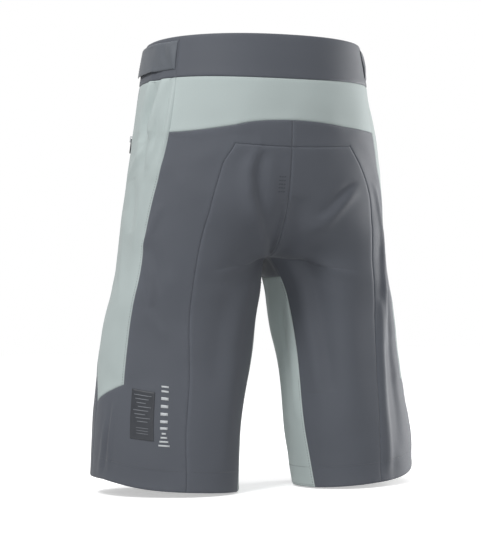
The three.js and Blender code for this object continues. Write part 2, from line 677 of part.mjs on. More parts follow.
function buildFly() {
  const flyCells = block(1, column.flyHinge, column.front, row.bandFoot, row.flyFoot);
  const flap = panel('fly_flap', flyCells, slate);
  panel('waistband_tab_end', block(1, column.flyHinge, column.front, ...bandRows), slateBand);
  const hinge = [row.waist, row.flyFoot].map((r) => {
    const { point, normal } = spotOf(column.flyHinge, r);
    const edge = point.clone().addScaledVector(normal, cloth / 2);
    edge.x -= seamGap / 2;
    return edge;
  });
  flap.userData = { pivot: hinge[0], axis: hinge[1].clone().sub(hinge[0]).normalize() };

  const onFront = (x, z) => new THREE.Vector3(x, -torsoFrontDepth[0] + flySlope * z + flyBow * x * x, z);
  const bandFootZ = -sideLength * rowShare[row.bandFoot];
  const frame = frameOn(onFront(flyZipX, bandFootZ), onFront(flyZipX, bandFootZ - flyZipLength),
    new THREE.Vector3(2 * flyBow * flyZipX, -1, 0));
  const tapeX = (zipChannel + tapeWidth) / 2;
  const tapeLength = flyZipLength + 6;
  for (const [place, direction] of [['left', 1], ['right', -1]]) {
    const tape = box(tapeWidth, tapeLength, -flyTapeDepth - tapeThickness, -flyTapeDepth, 3, tapeX * direction);
    addMesh(`fly_tape_${place}`, tape, black).applyMatrix4(frame);
  }
  const sliderY = flyZipLength / 2 - sliderLength / 2 - 3;
  const slider = joined([zipSlider(-flyTapeDepth, -flyPullDepth),
    box(4, 2, -flyPullDepth - 0.2, -flyPullDepth + 0.7, -4.6),
    box(pullWidth, pullLength - 5, -flyPullDepth + 0.4, -flyPullDepth + 1.6, -pullLength / 2 - 2.5)]);
  const sliderMesh = addMesh('fly_slider', slider.translate(0, sliderY, 0), metal);
  sliderMesh.applyMatrix4(frame);
  sliderMesh.userData = { axis: new THREE.Vector3(0, -1, 0).transformDirection(frame),
    travel: flyZipLength - sliderLength - pullLength };
  buildShield();
  buildSnap(onFront);
}

// The shield lies behind the zip, and the underlap behind the waistband's snap end.
function buildShield() {
  const shieldDepth = new Map([[-17, 1.2], [18, 10.4], [17, 11.4], [16, 11.4]]);
  const columns = [16, 17, 18, -17];
  const rows = steps(row.bandFoot + 0.06, row.flyFoot);
  sheetAcross('fly_shield', columns, rows, shieldDepth, 1, liningGrey);
  const lapDepth = new Map([[-17, 1.1], [18, 4.8], [17, 4.8], [16.05, 4.8]]);
  sheetAcross('waistband_underlap', [16.05, 17, 18, -17], [0.02, 1, 1.96], lapDepth, lining, slateBand);
}

// A sheet that starts inside the right front and runs across the centre to the left.
function sheetAcross(name, columns, rows, depths, thickness, look) {
  const vertices = [];
  for (const r of rows) {
    for (const c of columns) {
      const { point, normal } = spotAt(c < 0 ? -1 : 1, Math.abs(c), r);
      const outer = -depths.get(c) - (c < 0 ? layerGap / 3 : 0);
      vertices.push({ inner: point.clone().addScaledVector(normal, outer - thickness),
        outer: point.clone().addScaledVector(normal, outer) });
    }
  }
  const quads = [];
  for (let j = 0; j < rows.length - 1; j++) {
    for (let i = 0; i < columns.length - 1; i++) {
      const a = j * columns.length + i;
      quads.push([a, a + 1, a + columns.length + 1, a + columns.length]);
    }
  }
  return addMesh(name, sheetGeometry(vertices, quads), look);
}

function buildSnap(onFront) {
  const z = -sideLength * rowShare[1];
  const outward = new THREE.Vector3(2 * flyBow * snap.x, -1, 0);
  const frame = frameOn(onFront(snap.x, z + 1), onFront(snap.x, z - 1), outward);
  const face = cloth / 2;
  const cap = joined([disc(snap.radius, face + layerGap, face + layerGap + 1.4),
    disc(snap.post, -face, face + layerGap + 0.2)]);
  const hole = solidOf(disc(snap.hole, -3, 3).applyMatrix4(frame));
  const tabEnd = shorts.getObjectByName('waistband_tab_end');
  tabEnd.geometry = geometryFrom(solidOf(tabEnd.geometry).subtract(hole));
  const ring = new THREE.Shape().absarc(0, 0, snap.socketRadius, 0, 2 * Math.PI);
  ring.holes.push(new THREE.Path().absarc(0, 0, snap.hole, 0, 2 * Math.PI, true));
  const socket = new THREE.ExtrudeGeometry(ring, { depth: 1.9, bevelEnabled: false, curveSegments: 12 })
    .translate(0, 0, -face - layerGap - 1.9);
  const studFoot = -4.8 + layerGap;
  const stud = joined([disc(snap.socketRadius, studFoot, studFoot + 1.1),
    disc(snap.post, studFoot + 0.6, studFoot + 2.4)]);
  addMesh('snap_cap', cap, metal).applyMatrix4(frame);
  addMesh('snap_socket', socket, metal).applyMatrix4(frame);
  addMesh('snap_stud', stud, metal).applyMatrix4(frame);
  addMesh('snap_backing', disc(snap.socketRadius, -4.8 - lining - layerGap - 1, -4.8 - lining - layerGap), metal)
    .applyMatrix4(frame);
}

// ---------------------------------------------------------------- marks on the left leg

function buildMarks() {
  const lie = cloth / 2 + transferGap;
  const slant = (r) => -0.05 * (r - 18);
  patch('leg_patch', [4.5, 4.8, 5.15, 5.5], [18.05, 18.5, 19, 19.78], () => [lie, lie + 0.6], black, slant);
  patch('reflective_transfer', [3.82, 4.1, 4.38], [17.6, 18, 18.5, 19, 19.45, 19.95],
    () => [lie, lie + 0.4], silver, slant);
}

buildWaistband();
buildAdjusters();
buildPanels();
for (const [label, side] of sides) buildPocket(label, side);
buildFly();
buildMarks();

export default shorts;
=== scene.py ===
# %% [markdown]
# # Trail riding shorts
#
# A pair of baggy shorts is cut flat, sewn into two tubes that join at the seat, and worn over a body that
# gives it its shape. Here one smooth surface stands for the worn shape, and every panel is cut out of it
# along the same seam lines that the pattern has. This keeps neighbouring panels in touch at every seam.

# %% Load the frame
import math

import bpy
import numpy as np
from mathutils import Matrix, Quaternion, Vector, kdtree


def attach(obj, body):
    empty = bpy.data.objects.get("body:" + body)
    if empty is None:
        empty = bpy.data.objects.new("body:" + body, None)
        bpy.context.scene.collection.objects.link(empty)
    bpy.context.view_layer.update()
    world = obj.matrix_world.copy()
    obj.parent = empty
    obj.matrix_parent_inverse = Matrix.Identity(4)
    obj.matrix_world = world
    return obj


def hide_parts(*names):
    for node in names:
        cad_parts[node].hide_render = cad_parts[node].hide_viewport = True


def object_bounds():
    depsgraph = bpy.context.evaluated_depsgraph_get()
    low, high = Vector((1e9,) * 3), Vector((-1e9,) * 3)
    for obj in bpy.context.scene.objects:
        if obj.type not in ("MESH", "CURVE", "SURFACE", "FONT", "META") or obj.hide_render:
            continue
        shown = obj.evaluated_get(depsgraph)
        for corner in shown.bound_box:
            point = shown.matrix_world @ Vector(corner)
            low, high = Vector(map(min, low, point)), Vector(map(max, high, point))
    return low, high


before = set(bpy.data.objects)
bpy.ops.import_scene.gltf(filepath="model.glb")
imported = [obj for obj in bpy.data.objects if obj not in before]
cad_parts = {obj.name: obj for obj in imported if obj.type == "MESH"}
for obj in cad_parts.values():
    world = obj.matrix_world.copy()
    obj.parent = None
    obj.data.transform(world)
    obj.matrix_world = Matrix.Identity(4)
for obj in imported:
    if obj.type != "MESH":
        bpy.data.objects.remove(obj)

cad_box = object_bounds()

# %% [markdown]
# ## The worn shape
#
# The garment is described in millimetres and turned into metres when a mesh is made. A few stations down
# the body give the half widths and depths of the torso and of each leg, and a smooth curve joins them. The
# frame's own model is made from the same sizes, so a piece lies where its frame node lies.

# %% Sizes of the worn shape
MM = 0.001
SIDES = (("left", 1), ("right", -1))
SIDE_LENGTH = 560.0
TORSO_AT = [0, 0.09, 0.20, 0.33, 0.46, 0.60]
TORSO_HALF_WIDTH = [138, 148, 158, 167, 173, 173]
TORSO_BACK = [112, 113, 115, 117, 117, 117]
TORSO_FRONT = [106, 110, 112, 113, 113, 113]
TORSO_ROUNDNESS = 2.25
LEG_AT = [0.30, 0.52, 0.64, 0.76, 0.88, 1.0]
LEG_X = [86, 93, 107, 118, 126, 131]
LEG_Y = [-18, -18, -14, -6, 2, 8]
LEG_HALF_WIDTH = [86, 88, 90, 92, 93, 93]
LEG_HALF_DEPTH = [104, 98, 85, 76, 73, 70]
LEG_TURN = [0, -0.20, -0.45, -0.60, -0.60, -0.60]
INNER_HALF_ANGLE = [0.50, 0.50, 0.48, 0.48, 0.52, 0.58]
LEG_ROUNDNESS = 2.15
BLEND_FROM, BLEND_TO = 0.22, 0.60
CROTCH = 0.52
CROTCH_DROP = 271.0
GUSSET_HALF = 24.0
CROTCH_ROUNDING = 0.16
BACK_BULGE_Y, BACK_LOW_Y, BACK_BULGE_SHARE = 144, 112, 0.49
FRONT_LOW_Y, FRONT_LEAN, FRONT_DROP = 88, 3, 46
PULL_WIDE, PULL_NARROW, PULL_FROM, PULL_OVER = 0.36, 0.24, 0.30, 0.20
HEM_LIFT_FROM = 0.6
HEM_SIDE_LIFT = 14.0
HEM_TILT = 0.06
FLY_STRAIGHT = 0.36
FLY_SLOPE = 0.03
FLY_FLAT_HALF, FLY_FLAT_FADE, FLY_FOOT_FADE, FRONT_FROM = 48.0, 45, 0.10, 0.6
FLY_BOW = 0.0017
FLY_WIDTH = 38.0


def curve(stations, values):
    """A smooth curve through a few stations, for whole arrays of positions."""
    x = np.array(stations, float)
    y = np.array(values, float)
    slope = np.diff(y) / np.diff(x)
    gap = np.diff(x)
    inner = (slope[:-1] * gap[1:] + slope[1:] * gap[:-1]) / (gap[:-1] + gap[1:])
    tangent = np.concatenate([slope[:1], inner, slope[-1:]])

    def at(v):
        v = np.asarray(v, float)
        i = np.clip(np.searchsorted(x, v, side="right") - 1, 0, len(x) - 2)
        h = x[i + 1] - x[i]
        t = (v - x[i]) / h
        hold = t * t * (3 - 2 * t)
        bend = t * (1 - t) ** 2 * h * tangent[i] - t * t * (1 - t) * h * tangent[i + 1]
        return (1 - hold) * y[i] + hold * y[i + 1] + bend

    return at


def smooth(t):
    t = np.clip(t, 0, 1)
    return t * t * (3 - 2 * t)


def mix(a, b, t):
    return a + (b - a) * t


def signed_power(x, p):
    return np.sign(x) * np.abs(x) ** p


torso_half = curve(TORSO_AT, TORSO_HALF_WIDTH)
torso_back = curve(TORSO_AT, TORSO_BACK)
torso_front = curve(TORSO_AT, TORSO_FRONT)
leg_x, leg_y = curve(LEG_AT, LEG_X), curve(LEG_AT, LEG_Y)
leg_half, leg_deep = curve(LEG_AT, LEG_HALF_WIDTH), curve(LEG_AT, LEG_HALF_DEPTH)
inner_angle, leg_turn = curve(LEG_AT, INNER_HALF_ANGLE), curve(LEG_AT, LEG_TURN)


# %% [markdown]
# ### Loops, rises and inseams
#
# Each row of the garment starts as one loop round the torso and turns into a loop round each leg. The seat
# is where this is hard: the centre back and centre front seams curve under the body and meet at the gusset.
# They could be sculpted, but two Bezier curves give the same rise and stay easy to change. The surface near
# them is drawn over to the curves, and less so further round the hip.

# %% Loops and edges
def torso_loop(s, v):
    angle = np.pi / 2 - np.pi * s
    depth = np.where(np.sin(angle) >= 0, torso_back(v), torso_front(v))
    p = 2 / TORSO_ROUNDNESS
    return torso_half(v) * signed_power(np.cos(angle), p), depth * signed_power(np.sin(angle), p)


def leg_loop(angle, v):
    """An oval leg: its long way is turned by leg_turn, but each angle keeps its direction from the middle."""
    at = np.maximum(v, LEG_AT[0])
    turn = leg_turn(at)
    p = 2 / LEG_ROUNDNESS
    across = leg_half(at) * signed_power(np.cos(angle - turn), p)
    along = leg_deep(at) * signed_power(np.sin(angle - turn), p)
    return (leg_x(at) + across * np.cos(turn) - along * np.sin(turn),
            leg_y(at) + across * np.sin(turn) + along * np.cos(turn))


def outer_angle(s, v):
    half = inner_angle(np.maximum(v, LEG_AT[0]))
    return np.pi - half - (2 * np.pi - 2 * half) * s


def row_height(x, v):
    at = np.maximum(v, CROTCH)
    out = np.maximum(0, (x - leg_x(at)) / leg_half(at))
    lift = HEM_TILT * (x - leg_x(1.0)) + HEM_SIDE_LIFT * out ** 3
    return -SIDE_LENGTH * v + smooth((v - HEM_LIFT_FROM) / (1 - HEM_LIFT_FROM)) * lift


def bezier(points):
    """Position by share of arc length along a cubic Bezier curve in the y-z plane."""
    p = np.array(points, float)
    t = np.linspace(0, 1, 401)[:, None]
    path = (1 - t) ** 3 * p[0] + 3 * t * (1 - t) ** 2 * p[1] + 3 * t * t * (1 - t) * p[2] + t ** 3 * p[3]
    run = np.concatenate([[0], np.cumsum(np.hypot(*np.diff(path, axis=0).T))])
    run /= run[-1]
    return lambda q: (np.interp(q, run, path[:, 0]), np.interp(q, run, path[:, 1]))


back_rise = bezier([(TORSO_BACK[0], 0), (BACK_BULGE_Y, -BACK_BULGE_SHARE * CROTCH_DROP),
                    (BACK_LOW_Y, -CROTCH_DROP), (GUSSET_HALF, -CROTCH_DROP)])
fly_foot_z = -SIDE_LENGTH * FLY_STRAIGHT
fly_foot_y = -TORSO_FRONT[0] + FLY_SLOPE * fly_foot_z
front_curve = bezier([(fly_foot_y, fly_foot_z), (fly_foot_y - FRONT_LEAN, fly_foot_z - FRONT_DROP),
                      (-FRONT_LOW_Y, -CROTCH_DROP), (-GUSSET_HALF, -CROTCH_DROP)])


def rise_at(v, is_back):
    if is_back:
        return back_rise(v / CROTCH)
    low_y, low_z = front_curve((v - FLY_STRAIGHT) / (CROTCH - FLY_STRAIGHT))
    z = -SIDE_LENGTH * v
    straight = v <= FLY_STRAIGHT
    return np.where(straight, -TORSO_FRONT[0] + FLY_SLOPE * z, low_y), np.where(straight, z, low_z)


def edge_at(v, is_back):
    rise_y, rise_z = rise_at(np.minimum(v, CROTCH), is_back)
    x, y = leg_loop(outer_angle(0.0 if is_back else 1.0, v), v)
    t = np.clip((v - CROTCH) / CROTCH_ROUNDING, 0, 1)
    w = smooth(t)
    z = mix(-CROTCH_DROP - SIDE_LENGTH * (v - CROTCH), row_height(x, v), w)
    above = v <= CROTCH
    return np.stack([np.where(above, 0, x * np.sqrt(t * (2 - t))), np.where(above, rise_y, mix(rise_y, y, w)),
                     np.where(above, rise_z, z)], -1)


def plain_outer(s, v):
    w = smooth((v - BLEND_FROM) / (BLEND_TO - BLEND_FROM))
    tx, ty = torso_loop(s, v)
    lx, ly = leg_loop(outer_angle(s, v), v)
    x, y = mix(tx, lx, w), mix(ty, ly, w)
    return np.stack([x, y, row_height(x, v)], -1)


def outer_at(s, v):
    """Outside of the left half: s runs from the centre back seam (0) to the centre front (1)."""
    s, v = np.broadcast_arrays(np.asarray(s, float), np.asarray(v, float))
    point = plain_outer(s, v)
    reach = mix(PULL_WIDE, PULL_NARROW, smooth((v - PULL_FROM) / PULL_OVER))
    moved = point.copy()
    for is_back, end in ((True, 0.0), (False, 1.0)):
        pull = 1 - smooth(np.abs(s - end) / reach)
        moved += (edge_at(v, is_back) - plain_outer(end + 0 * s, v)) * pull[..., None]
    beside = 1 - smooth((np.abs(moved[..., 0]) - FLY_FLAT_HALF) / FLY_FLAT_FADE)
    above = 1 - smooth((v - FLY_STRAIGHT) / FLY_FOOT_FADE)
    flat = -TORSO_FRONT[0] + FLY_SLOPE * moved[..., 2] + FLY_BOW * moved[..., 0] ** 2
    moved[..., 1] = mix(moved[..., 1], flat, np.where(s > FRONT_FROM, beside * above, 0))
    return moved


def inner_at(t, v):
    """Inner thigh: t runs from the back inseam (0) to the front inseam (1)."""
    half = inner_angle(v)
    back, front = edge_at(v, True), edge_at(v, False)
    x0, y0 = leg_loop(np.pi - half, v)
    x1, y1 = leg_loop(np.pi + half, v)
    x, y = leg_loop(np.pi - half + 2 * half * t, v)
    bow = np.stack([x - mix(x0, x1, t), y - mix(y0, y1, t), 0 * x], -1)
    w = smooth((v - CROTCH) / CROTCH_ROUNDING)
    return mix(back, front, np.asarray(t)[..., None]) + bow * w[..., None]


print("hem, outside left:", outer_at(0.5, 1.0).round(1))

# %% [markdown]
# ## The pattern grid
#
# Seams run along whole numbers of a grid: columns go round the body from the centre back, and rows go down
# from the waist. A seam's place round the body changes with height, so each seam column has its own curve.
# Grid lines are close together beside a seam, where the cloth rolls over its edge, and wide apart between.

# %% Rows and columns of the pattern
ROW_SHARE = [0, 0.046, 0.092, 0.134, 0.176, 0.229, 0.27, 0.31, 0.35, 0.39, 0.43, 0.475, CROTCH,
             0.56, 0.60, 0.645, 0.695, 0.745, 0.79, 0.85, 0.905, 0.955, 1.0]
WAIST, BAND_FOOT, YOKE_FOOT, STRIP_FOOT, FLY_FOOT, POCKET_FOOT = 0, 2, 4, 5, 7, 10
CROTCH_ROW, GUSSET_FOOT, SIDE_FOOT, FACING_TOP, HEM = 12, 13, 18, 21, 22
YOKE_DIP, YOKE_HANG, HANG_FROM, HANG_FADE = 0.024, 0.014, 1.5, 3
SEAT, REAR, SIDE, POCKET, FLY, FRONT, AROUND = 3, 6, 10, 11, 16, 18, 22
seat_seam = curve([0, 0.229, 0.27, 0.32, 0.40, 0.50, 0.75, 0.85, 1],
                  [0.165, 0.165, 0.187, 0.21, 0.23, 0.242, 0.24, 0.237, 0.224])
rear_seam = curve([0, 0.22, 0.30, 0.38, 0.46, 0.56, 0.68, 0.79, 1],
                  [0.335, 0.33, 0.352, 0.378, 0.395, 0.39, 0.39, 0.395, 0.395])
side_seam = curve([0, 0.20, 0.43, 0.60, 0.70, 0.82, 0.90, 1],
                  [0.56, 0.57, 0.58, 0.585, 0.56, 0.51, 0.512, 0.53])
# The shorts sit a little twisted on the body, so the seat seams lean the same way on both sides, and the
# upper left corner of the seat lies nearer the middle.
seat_twist = curve([0, 0.229, 0.30, 0.55, 0.75, 0.90, 1], [0, 0, 0.028, 0.035, 0.027, 0.01, 0.005])
corner_lean = curve([0, 0.15, 0.229, 0.275, 0.30, 1], [0, 0.01, 0.034, 0.008, 0, 0])
SIDE_FOOT_SLOPE = ([SEAT, REAR, SIDE, 14], [0, -0.016, 0.033, 0])
POCKET_SLOT = 16.0


def find_s(test, low, high):
    """The s at which a test turns true, for every height at once."""
    for _ in range(40):
        middle = (low + high) / 2
        hit = test(middle)
        low, high = np.where(hit, low, middle), np.where(hit, middle, high)
    return (low + high) / 2


heights = np.linspace(0, 1, 301)
slot_start = outer_at(side_seam(heights), heights)
slot_s = find_s(lambda s: np.linalg.norm(outer_at(s, heights) - slot_start, axis=-1) > POCKET_SLOT,
                side_seam(heights), side_seam(heights) + 0.2)
fly_s = find_s(lambda s: outer_at(s, np.minimum(heights, FLY_STRAIGHT))[..., 0] < FLY_WIDTH,
               0.75 + 0 * heights, 1 + 0 * heights)


def s_at(c, v, side=0):
    """Share of the way round the outside for a column, from the centre back to the centre front."""
    knots = [0, SEAT, REAR, SIDE, POCKET, FLY, FRONT]
    seat = seat_seam(v) - side * (seat_twist(v) + max(side, 0) * corner_lean(v))
    places = [0 * v, seat, rear_seam(v), side_seam(v), np.interp(v, heights, slot_s),
              np.interp(v, heights, fly_s), 1 + 0 * v]
    s = 1 + 0 * v
    for k in range(6):
        share = (c - knots[k]) / (knots[k + 1] - knots[k])
        s = np.where((c >= knots[k]) & (c <= knots[k + 1]), mix(places[k], places[k + 1], share), s)
    return s


def v_at(c, r, side=0):
    """Share of the side length for a pattern position; the left end of the yoke hangs a little lower."""
    dip = np.interp(r, [BAND_FOOT, YOKE_FOOT, STRIP_FOOT], [0, 1, 0])
    near_foot = np.interp(r, [SIDE_FOOT - 1, SIDE_FOOT, SIDE_FOOT + 1], [0, 1, 0])
    slope = np.interp(c, *SIDE_FOOT_SLOPE) * near_foot
    hang = YOKE_HANG * max(side, 0) * smooth((c - HANG_FROM) / (REAR - HANG_FROM)) \
        * (1 - smooth((c - REAR) / HANG_FADE))
    return np.interp(r, range(HEM + 1), ROW_SHARE) + (YOKE_DIP * smooth(c / REAR) + hang) * dip + slope


def body_at(c, r, side=0):
    """Points of the left half, in millimetres, for pattern positions c and r, before it is mirrored."""
    c, r = np.broadcast_arrays(np.asarray(c, float), np.asarray(r, float))
    v = v_at(c, r, side)
    outside = outer_at(s_at(c, v, side), v)
    inside = inner_at(1 - (c - FRONT) / (AROUND - FRONT), np.maximum(v, CROTCH))
    return np.where((c > FRONT)[..., None], inside, outside)


# %% Fine grid lines
def fine_lines(seams, step):
    """Evenly spaced lines between seams, with a few close to each seam."""
    beside = [0.03, 0.07, 0.12, 0.20]
    lines = [0.0]
    for low, high in zip(seams[:-1], seams[1:]):
        start, stop = low + beside[-1], high - beside[-1]
        count = max(1, round((stop - start) / step))
        lines += [low + b for b in beside[:-1]] + list(np.linspace(start, stop, count + 1))
        lines += [high - b for b in beside[:-1][::-1]] + [high]
    return np.array(lines)


def index_of(lines, value):
    return int(np.argmin(np.abs(lines - value)))


STEP = 0.17
fine_c = fine_lines([0, SEAT, REAR, SIDE, POCKET, FLY, FRONT, AROUND], STEP)
fine_r = fine_lines([0, BAND_FOOT, YOKE_FOOT, STRIP_FOOT, FLY_FOOT, POCKET_FOOT, CROTCH_ROW, GUSSET_FOOT,
                     SIDE_FOOT, FACING_TOP, HEM], STEP)
grid_c, grid_r = np.meshgrid(fine_c, fine_r)
base = {side: body_at(grid_c, grid_r, side) for side in (1, -1)}
crotch_line, front_line = index_of(fine_r, CROTCH_ROW), index_of(fine_c, FRONT)
print("grid:", base[1].shape[:2], "lines")

# %% [markdown]
# ## Folds
#
# Worn cloth isn't smooth: it folds where it has too much length and stretches where it has too little. The
# folds could come from a simulation alone, but then they fall where the solver likes. Here the main folds
# are listed as soft ridges and valleys along short lines on the pattern, the way a maker would pinch
# them. A faint ripple over everything below the band keeps the rest from looking moulded.

# %% Laying folds
END_HEIGHT = 0.15      # share of a fold's height left at its ends
TUCK_PEAK = 2.33       # makes a tucked fold as high as its given height
RIPPLE = 0.9           # height of the ripple in mm


def ridge(c, r, line, height, width, tucked=False):
    """A soft fold along a line of (column, row) points, fading at both ends. Width is in grid units.

    A tucked fold stands high on the outer side of its line and drops sharply on the inner side.
    """
    best = np.full(c.shape, 1e9)
    share, outward = np.zeros(c.shape), np.zeros(c.shape)
    points = np.array(line, float)
    lengths = np.hypot(*np.diff(points, axis=0).T)
    run = np.concatenate([[0], np.cumsum(lengths)]) / lengths.sum()
    for k in range(len(points) - 1):
        step = points[k + 1] - points[k]
        t = np.clip(((c - points[k][0]) * step[0] + (r - points[k][1]) * step[1]) / (step @ step), 0, 1)
        d = np.hypot(c - points[k][0] - t * step[0], r - points[k][1] - t * step[1])
        nearer = d < best
        best = np.where(nearer, d, best)
        share = np.where(nearer, mix(run[k], run[k + 1], t), share)
        across = (c - points[k][0]) * step[1] - (r - points[k][1]) * step[0]
        outward = np.where(nearer, np.sign(across), outward)
    fade = np.sqrt(np.clip(4 * share * (1 - share), 0, 1))
    near = best / width
    shape = TUCK_PEAK * outward * near * np.exp(-near ** 2) if tucked else np.exp(-near ** 2)
    return height * (END_HEIGHT + (1 - END_HEIGHT) * fade) * shape


# Each fold: side it is on (+1 left, -1 right, 0 both), points (column, row), height in mm, width.
FOLDS = [
    # Seat.
    (1, [(1.80, 5.8), (1.65, 7.0), (1.5, 8.2), (1.2, 9.6)], 2.9, 0.34),
    (1, [(0.85, 5.8), (0.75, 7.0), (0.5, 8.6)], 2.4, 0.26),
    (1, [(0.25, 8.0), (0.2, 11.2)], -3.5, 0.20),
    (-1, [(0.3, 7.6), (0.35, 9.6), (0.3, 11.6)], -3.8, 0.26),
    (-1, [(2.3, 6.9), (1.9, 7.3), (1.45, 7.9), (1.1, 8.7)], -2.6, 0.20),
    (-1, [(2.3, 7.4), (1.7, 8.1), (1.3, 8.9), (1.1, 9.7)], 3.2, 0.26),
    (0, [(0.3, 11.7), (0.9, 12.6), (1.8, 13.3)], -1.1, 0.30),
    (0, [(0.5, 11.0), (1.3, 11.9), (2.2, 12.4)], 2.6, 0.30),
    # Legs.
    (-1, [(0.95, 10.6), (1.15, 13.8), (1.15, 16.2), (1.2, 18.6)], -2.9, 0.34),
    (-1, [(1.75, 11.5), (1.9, 15), (1.8, 19.5)], 3.0, 0.42),
    (-1, [(4.2, 7.4), (4.7, 10), (4.15, 14), (3.85, 16.4), (3.85, 18.5), (3.95, 21.2)], 4.2, 0.32),
    (-1, [(5.0, 12), (4.7, 15), (4.5, 20.5)], -2.6, 0.34),
    (-1, [(21.8, 14.2), (21.5, 16.8), (21.4, 19)], 2.9, 0.28),
    (-1, [(21.2, 14.0), (20.8, 17.0)], -2.6, 0.30),
    (1, [(1.1, 12.5), (1.5, 16), (1.3, 20.5)], 2.9, 0.42),
    (1, [(1.9, 13.5), (2.1, 17.5)], -1.9, 0.34),
    (1, [(5.4, 8.6), (5.6, 9.7), (5.95, 10.8)], 2.7, 0.16),
    (1, [(5.75, 11.2), (5.3, 12.2), (5.0, 13.1), (4.9, 13.9)], 2.9, 0.16),
    (1, [(5.4, 10.6), (5.0, 11.8), (4.6, 13.2)], -2.1, 0.20),
    (1, [(5.2, 14.0), (4.6, 14.8), (4.0, 15.4)], 1.8, 0.20),
    (1, [(6.9, 18.6), (7.1, 21.6)], 2.1, 0.14),
    (1, [(7.4, 18.6), (7.7, 21.6)], -1.9, 0.14),
    (0, [(7.6, 19.0), (8.4, 21.8)], 1.9, 0.30),
    # Sides.
    (1, [(6.16, 2.4), (6.2, 5.0), (6.3, 7.2)], 2.4, 0.12),
    (1, [(7.4, 2.2), (8.2, 3.3), (8.6, 4.9)], -3.2, 0.22),
    (1, [(6.5, 2.3), (6.8, 3.6), (7.1, 5.4)], -2.4, 0.18),
    (1, [(7.0, 2.2), (7.5, 3.9), (7.9, 5.4), (9.2, 7.0)], 3.2, 0.26),
    (1, [(8.3, 6.9), (7.9, 8.2), (7.5, 10.0)], -2.9, 0.28),
    (1, [(7.2, 7.4), (6.9, 9.0), (6.8, 11.0)], 2.2, 0.26),
    (1, [(8.6, 8.8), (8.2, 11), (7.4, 13.4)], 2.2, 0.34),
    (-1, [(7.2, 2.4), (7.9, 4.4), (8.0, 6.5)], -2.6, 0.26),
    (-1, [(6.6, 3.0), (7.0, 6.0), (7.2, 9.0)], 2.6, 0.30),
    (-1, [(8.6, 8.0), (8.0, 11.5), (7.6, 14.0)], -2.2, 0.32),
    # Front.
    (0, [(15.6, 9.6), (14.2, 9.0), (12.6, 8.7)], 1.5, 0.34),
    (0, [(16.0, 10.8), (14.6, 10.6), (13.0, 10.9)], -1.5, 0.34),
    (0, [(16.6, 11.6), (15.2, 12.2), (13.6, 13.2)], 1.7, 0.40),
    (0, [(13.6, 13.6), (13.2, 17), (13.6, 21)], 2.9, 0.46),
    (0, [(15.6, 13.4), (15.5, 17), (15.8, 20.5)], -2.6, 0.44),
    (0, [(19.4, 13.6), (19.6, 17), (19.4, 20.5)], 2.2, 0.40),
]
# Tucks, where one side of the cloth hangs over the other.
TUCKS = [
    (1, [(1.5, 5.2), (1.55, 6.4), (1.35, 7.6), (1.0, 8.9), (0.65, 10.2), (0.45, 11.4)], 3.4, 0.34),
    (-1, [(0.9, 10.9), (0.75, 12.6), (0.75, 15.0), (0.9, 18.0)], -2.6, 0.34),
    (-1, [(3.9, 13.6), (3.75, 16.0), (3.7, 18.5), (3.8, 21.6)], -3.2, 0.36),
    (1, [(7.9, 2.0), (8.3, 3.6), (8.2, 5.6)], 4.6, 0.30),
    (1, [(7.1, 2.0), (7.5, 3.8), (7.3, 6.6)], -4.4, 0.26),
    (1, [(6.5, 2.0), (6.6, 3.8), (6.6, 5.8)], 3.0, 0.16),
]


def ripple(c, r, side):
    """Faint irregular waves, the same on every run."""
    total = 0 * c
    waves = [(1.7, 0.6, 0.0, 0.5), (0.5, 1.9, 1.3, 0.45), (2.9, 1.1, 2.1, 0.25), (1.3, 3.1, 4.0, 0.22),
             (4.3, 2.3, 0.7, 0.12), (2.1, 4.7, 5.2, 0.12)]
    for kc, kr, phase, height in waves:
        total = total + height * np.sin(kc * c + phase + 0.8 * side * np.sin(0.6 * r)) \
            * np.cos(kr * r + 1.7 * phase + side)
    return total


def fold_height(side):
    c, r = grid_c, grid_r
    below_band = smooth((r - BAND_FOOT) / 1.5)
    calm_front = 1 - smooth((np.where(c > FRONT, 0, c) - 14) / 1.5)
    calm_middle = smooth(np.minimum(c, np.abs(c - AROUND)) / 0.8) * smooth(np.abs(c - FRONT) / 0.6)
    total = RIPPLE * ripple(c, r, side) * below_band * (0.25 + 0.75 * calm_middle) * mix(0.3, 1, calm_front)
    for folds, tucked in ((FOLDS, False), (TUCKS, True)):
        for where, line, height, width in folds:
            if where in (0, side):
                total = total + ridge(c, r, line, height, width, tucked)
    return total * smooth(np.minimum(c, np.abs(c - AROUND)) / 0.15 + 0.2)


def unit(a):
    return a / np.maximum(np.linalg.norm(a, axis=-1, keepdims=True), 1e-9)


def normals_of(points):
    """Outward normals of the grid, shared across the inseam and across the centre line."""
    faces = np.cross(points[1:, 1:] - points[:-1, :-1], points[1:, :-1] - points[:-1, 1:])
    dead = np.zeros(faces.shape[:2], bool)
    dead[:crotch_line, front_line:] = True
    faces[dead] = 0
    total = np.zeros_like(points)
    for rows in (slice(0, -1), slice(1, None)):
        for columns in (slice(0, -1), slice(1, None)):
            total[rows, columns] += faces
    low = slice(crotch_line, None)
    total[low, 0] += total[low, -1]
    total[low, -1] = total[low, 0]
    total[:crotch_line + 1, 0, 0] = 0
    total[:crotch_line + 1, front_line, 0] = 0
    total[crotch_line, front_line:, 0] = 0
    return unit(total)


# In mm: the sideways shift, how far it reaches from the middle, and where down the legs it comes and goes.
STANCE_SHIFT, STANCE_REACH = 14.0, 125.0
STANCE_FROM, STANCE_GROWS, STANCE_TO, STANCE_FADES = 235, 90, 375, 130


def stance(points):
    """The wearer stands on one leg more than the other, so the gap between the legs leans to the right."""
    x, z = points[..., 0], points[..., 2]
    near_gap = 1 - smooth(np.abs(x) / STANCE_REACH)
    grown = smooth((-z - STANCE_FROM) / STANCE_GROWS)
    return STANCE_SHIFT * near_gap * grown * (1 - smooth((-z - STANCE_TO) / STANCE_FADES))


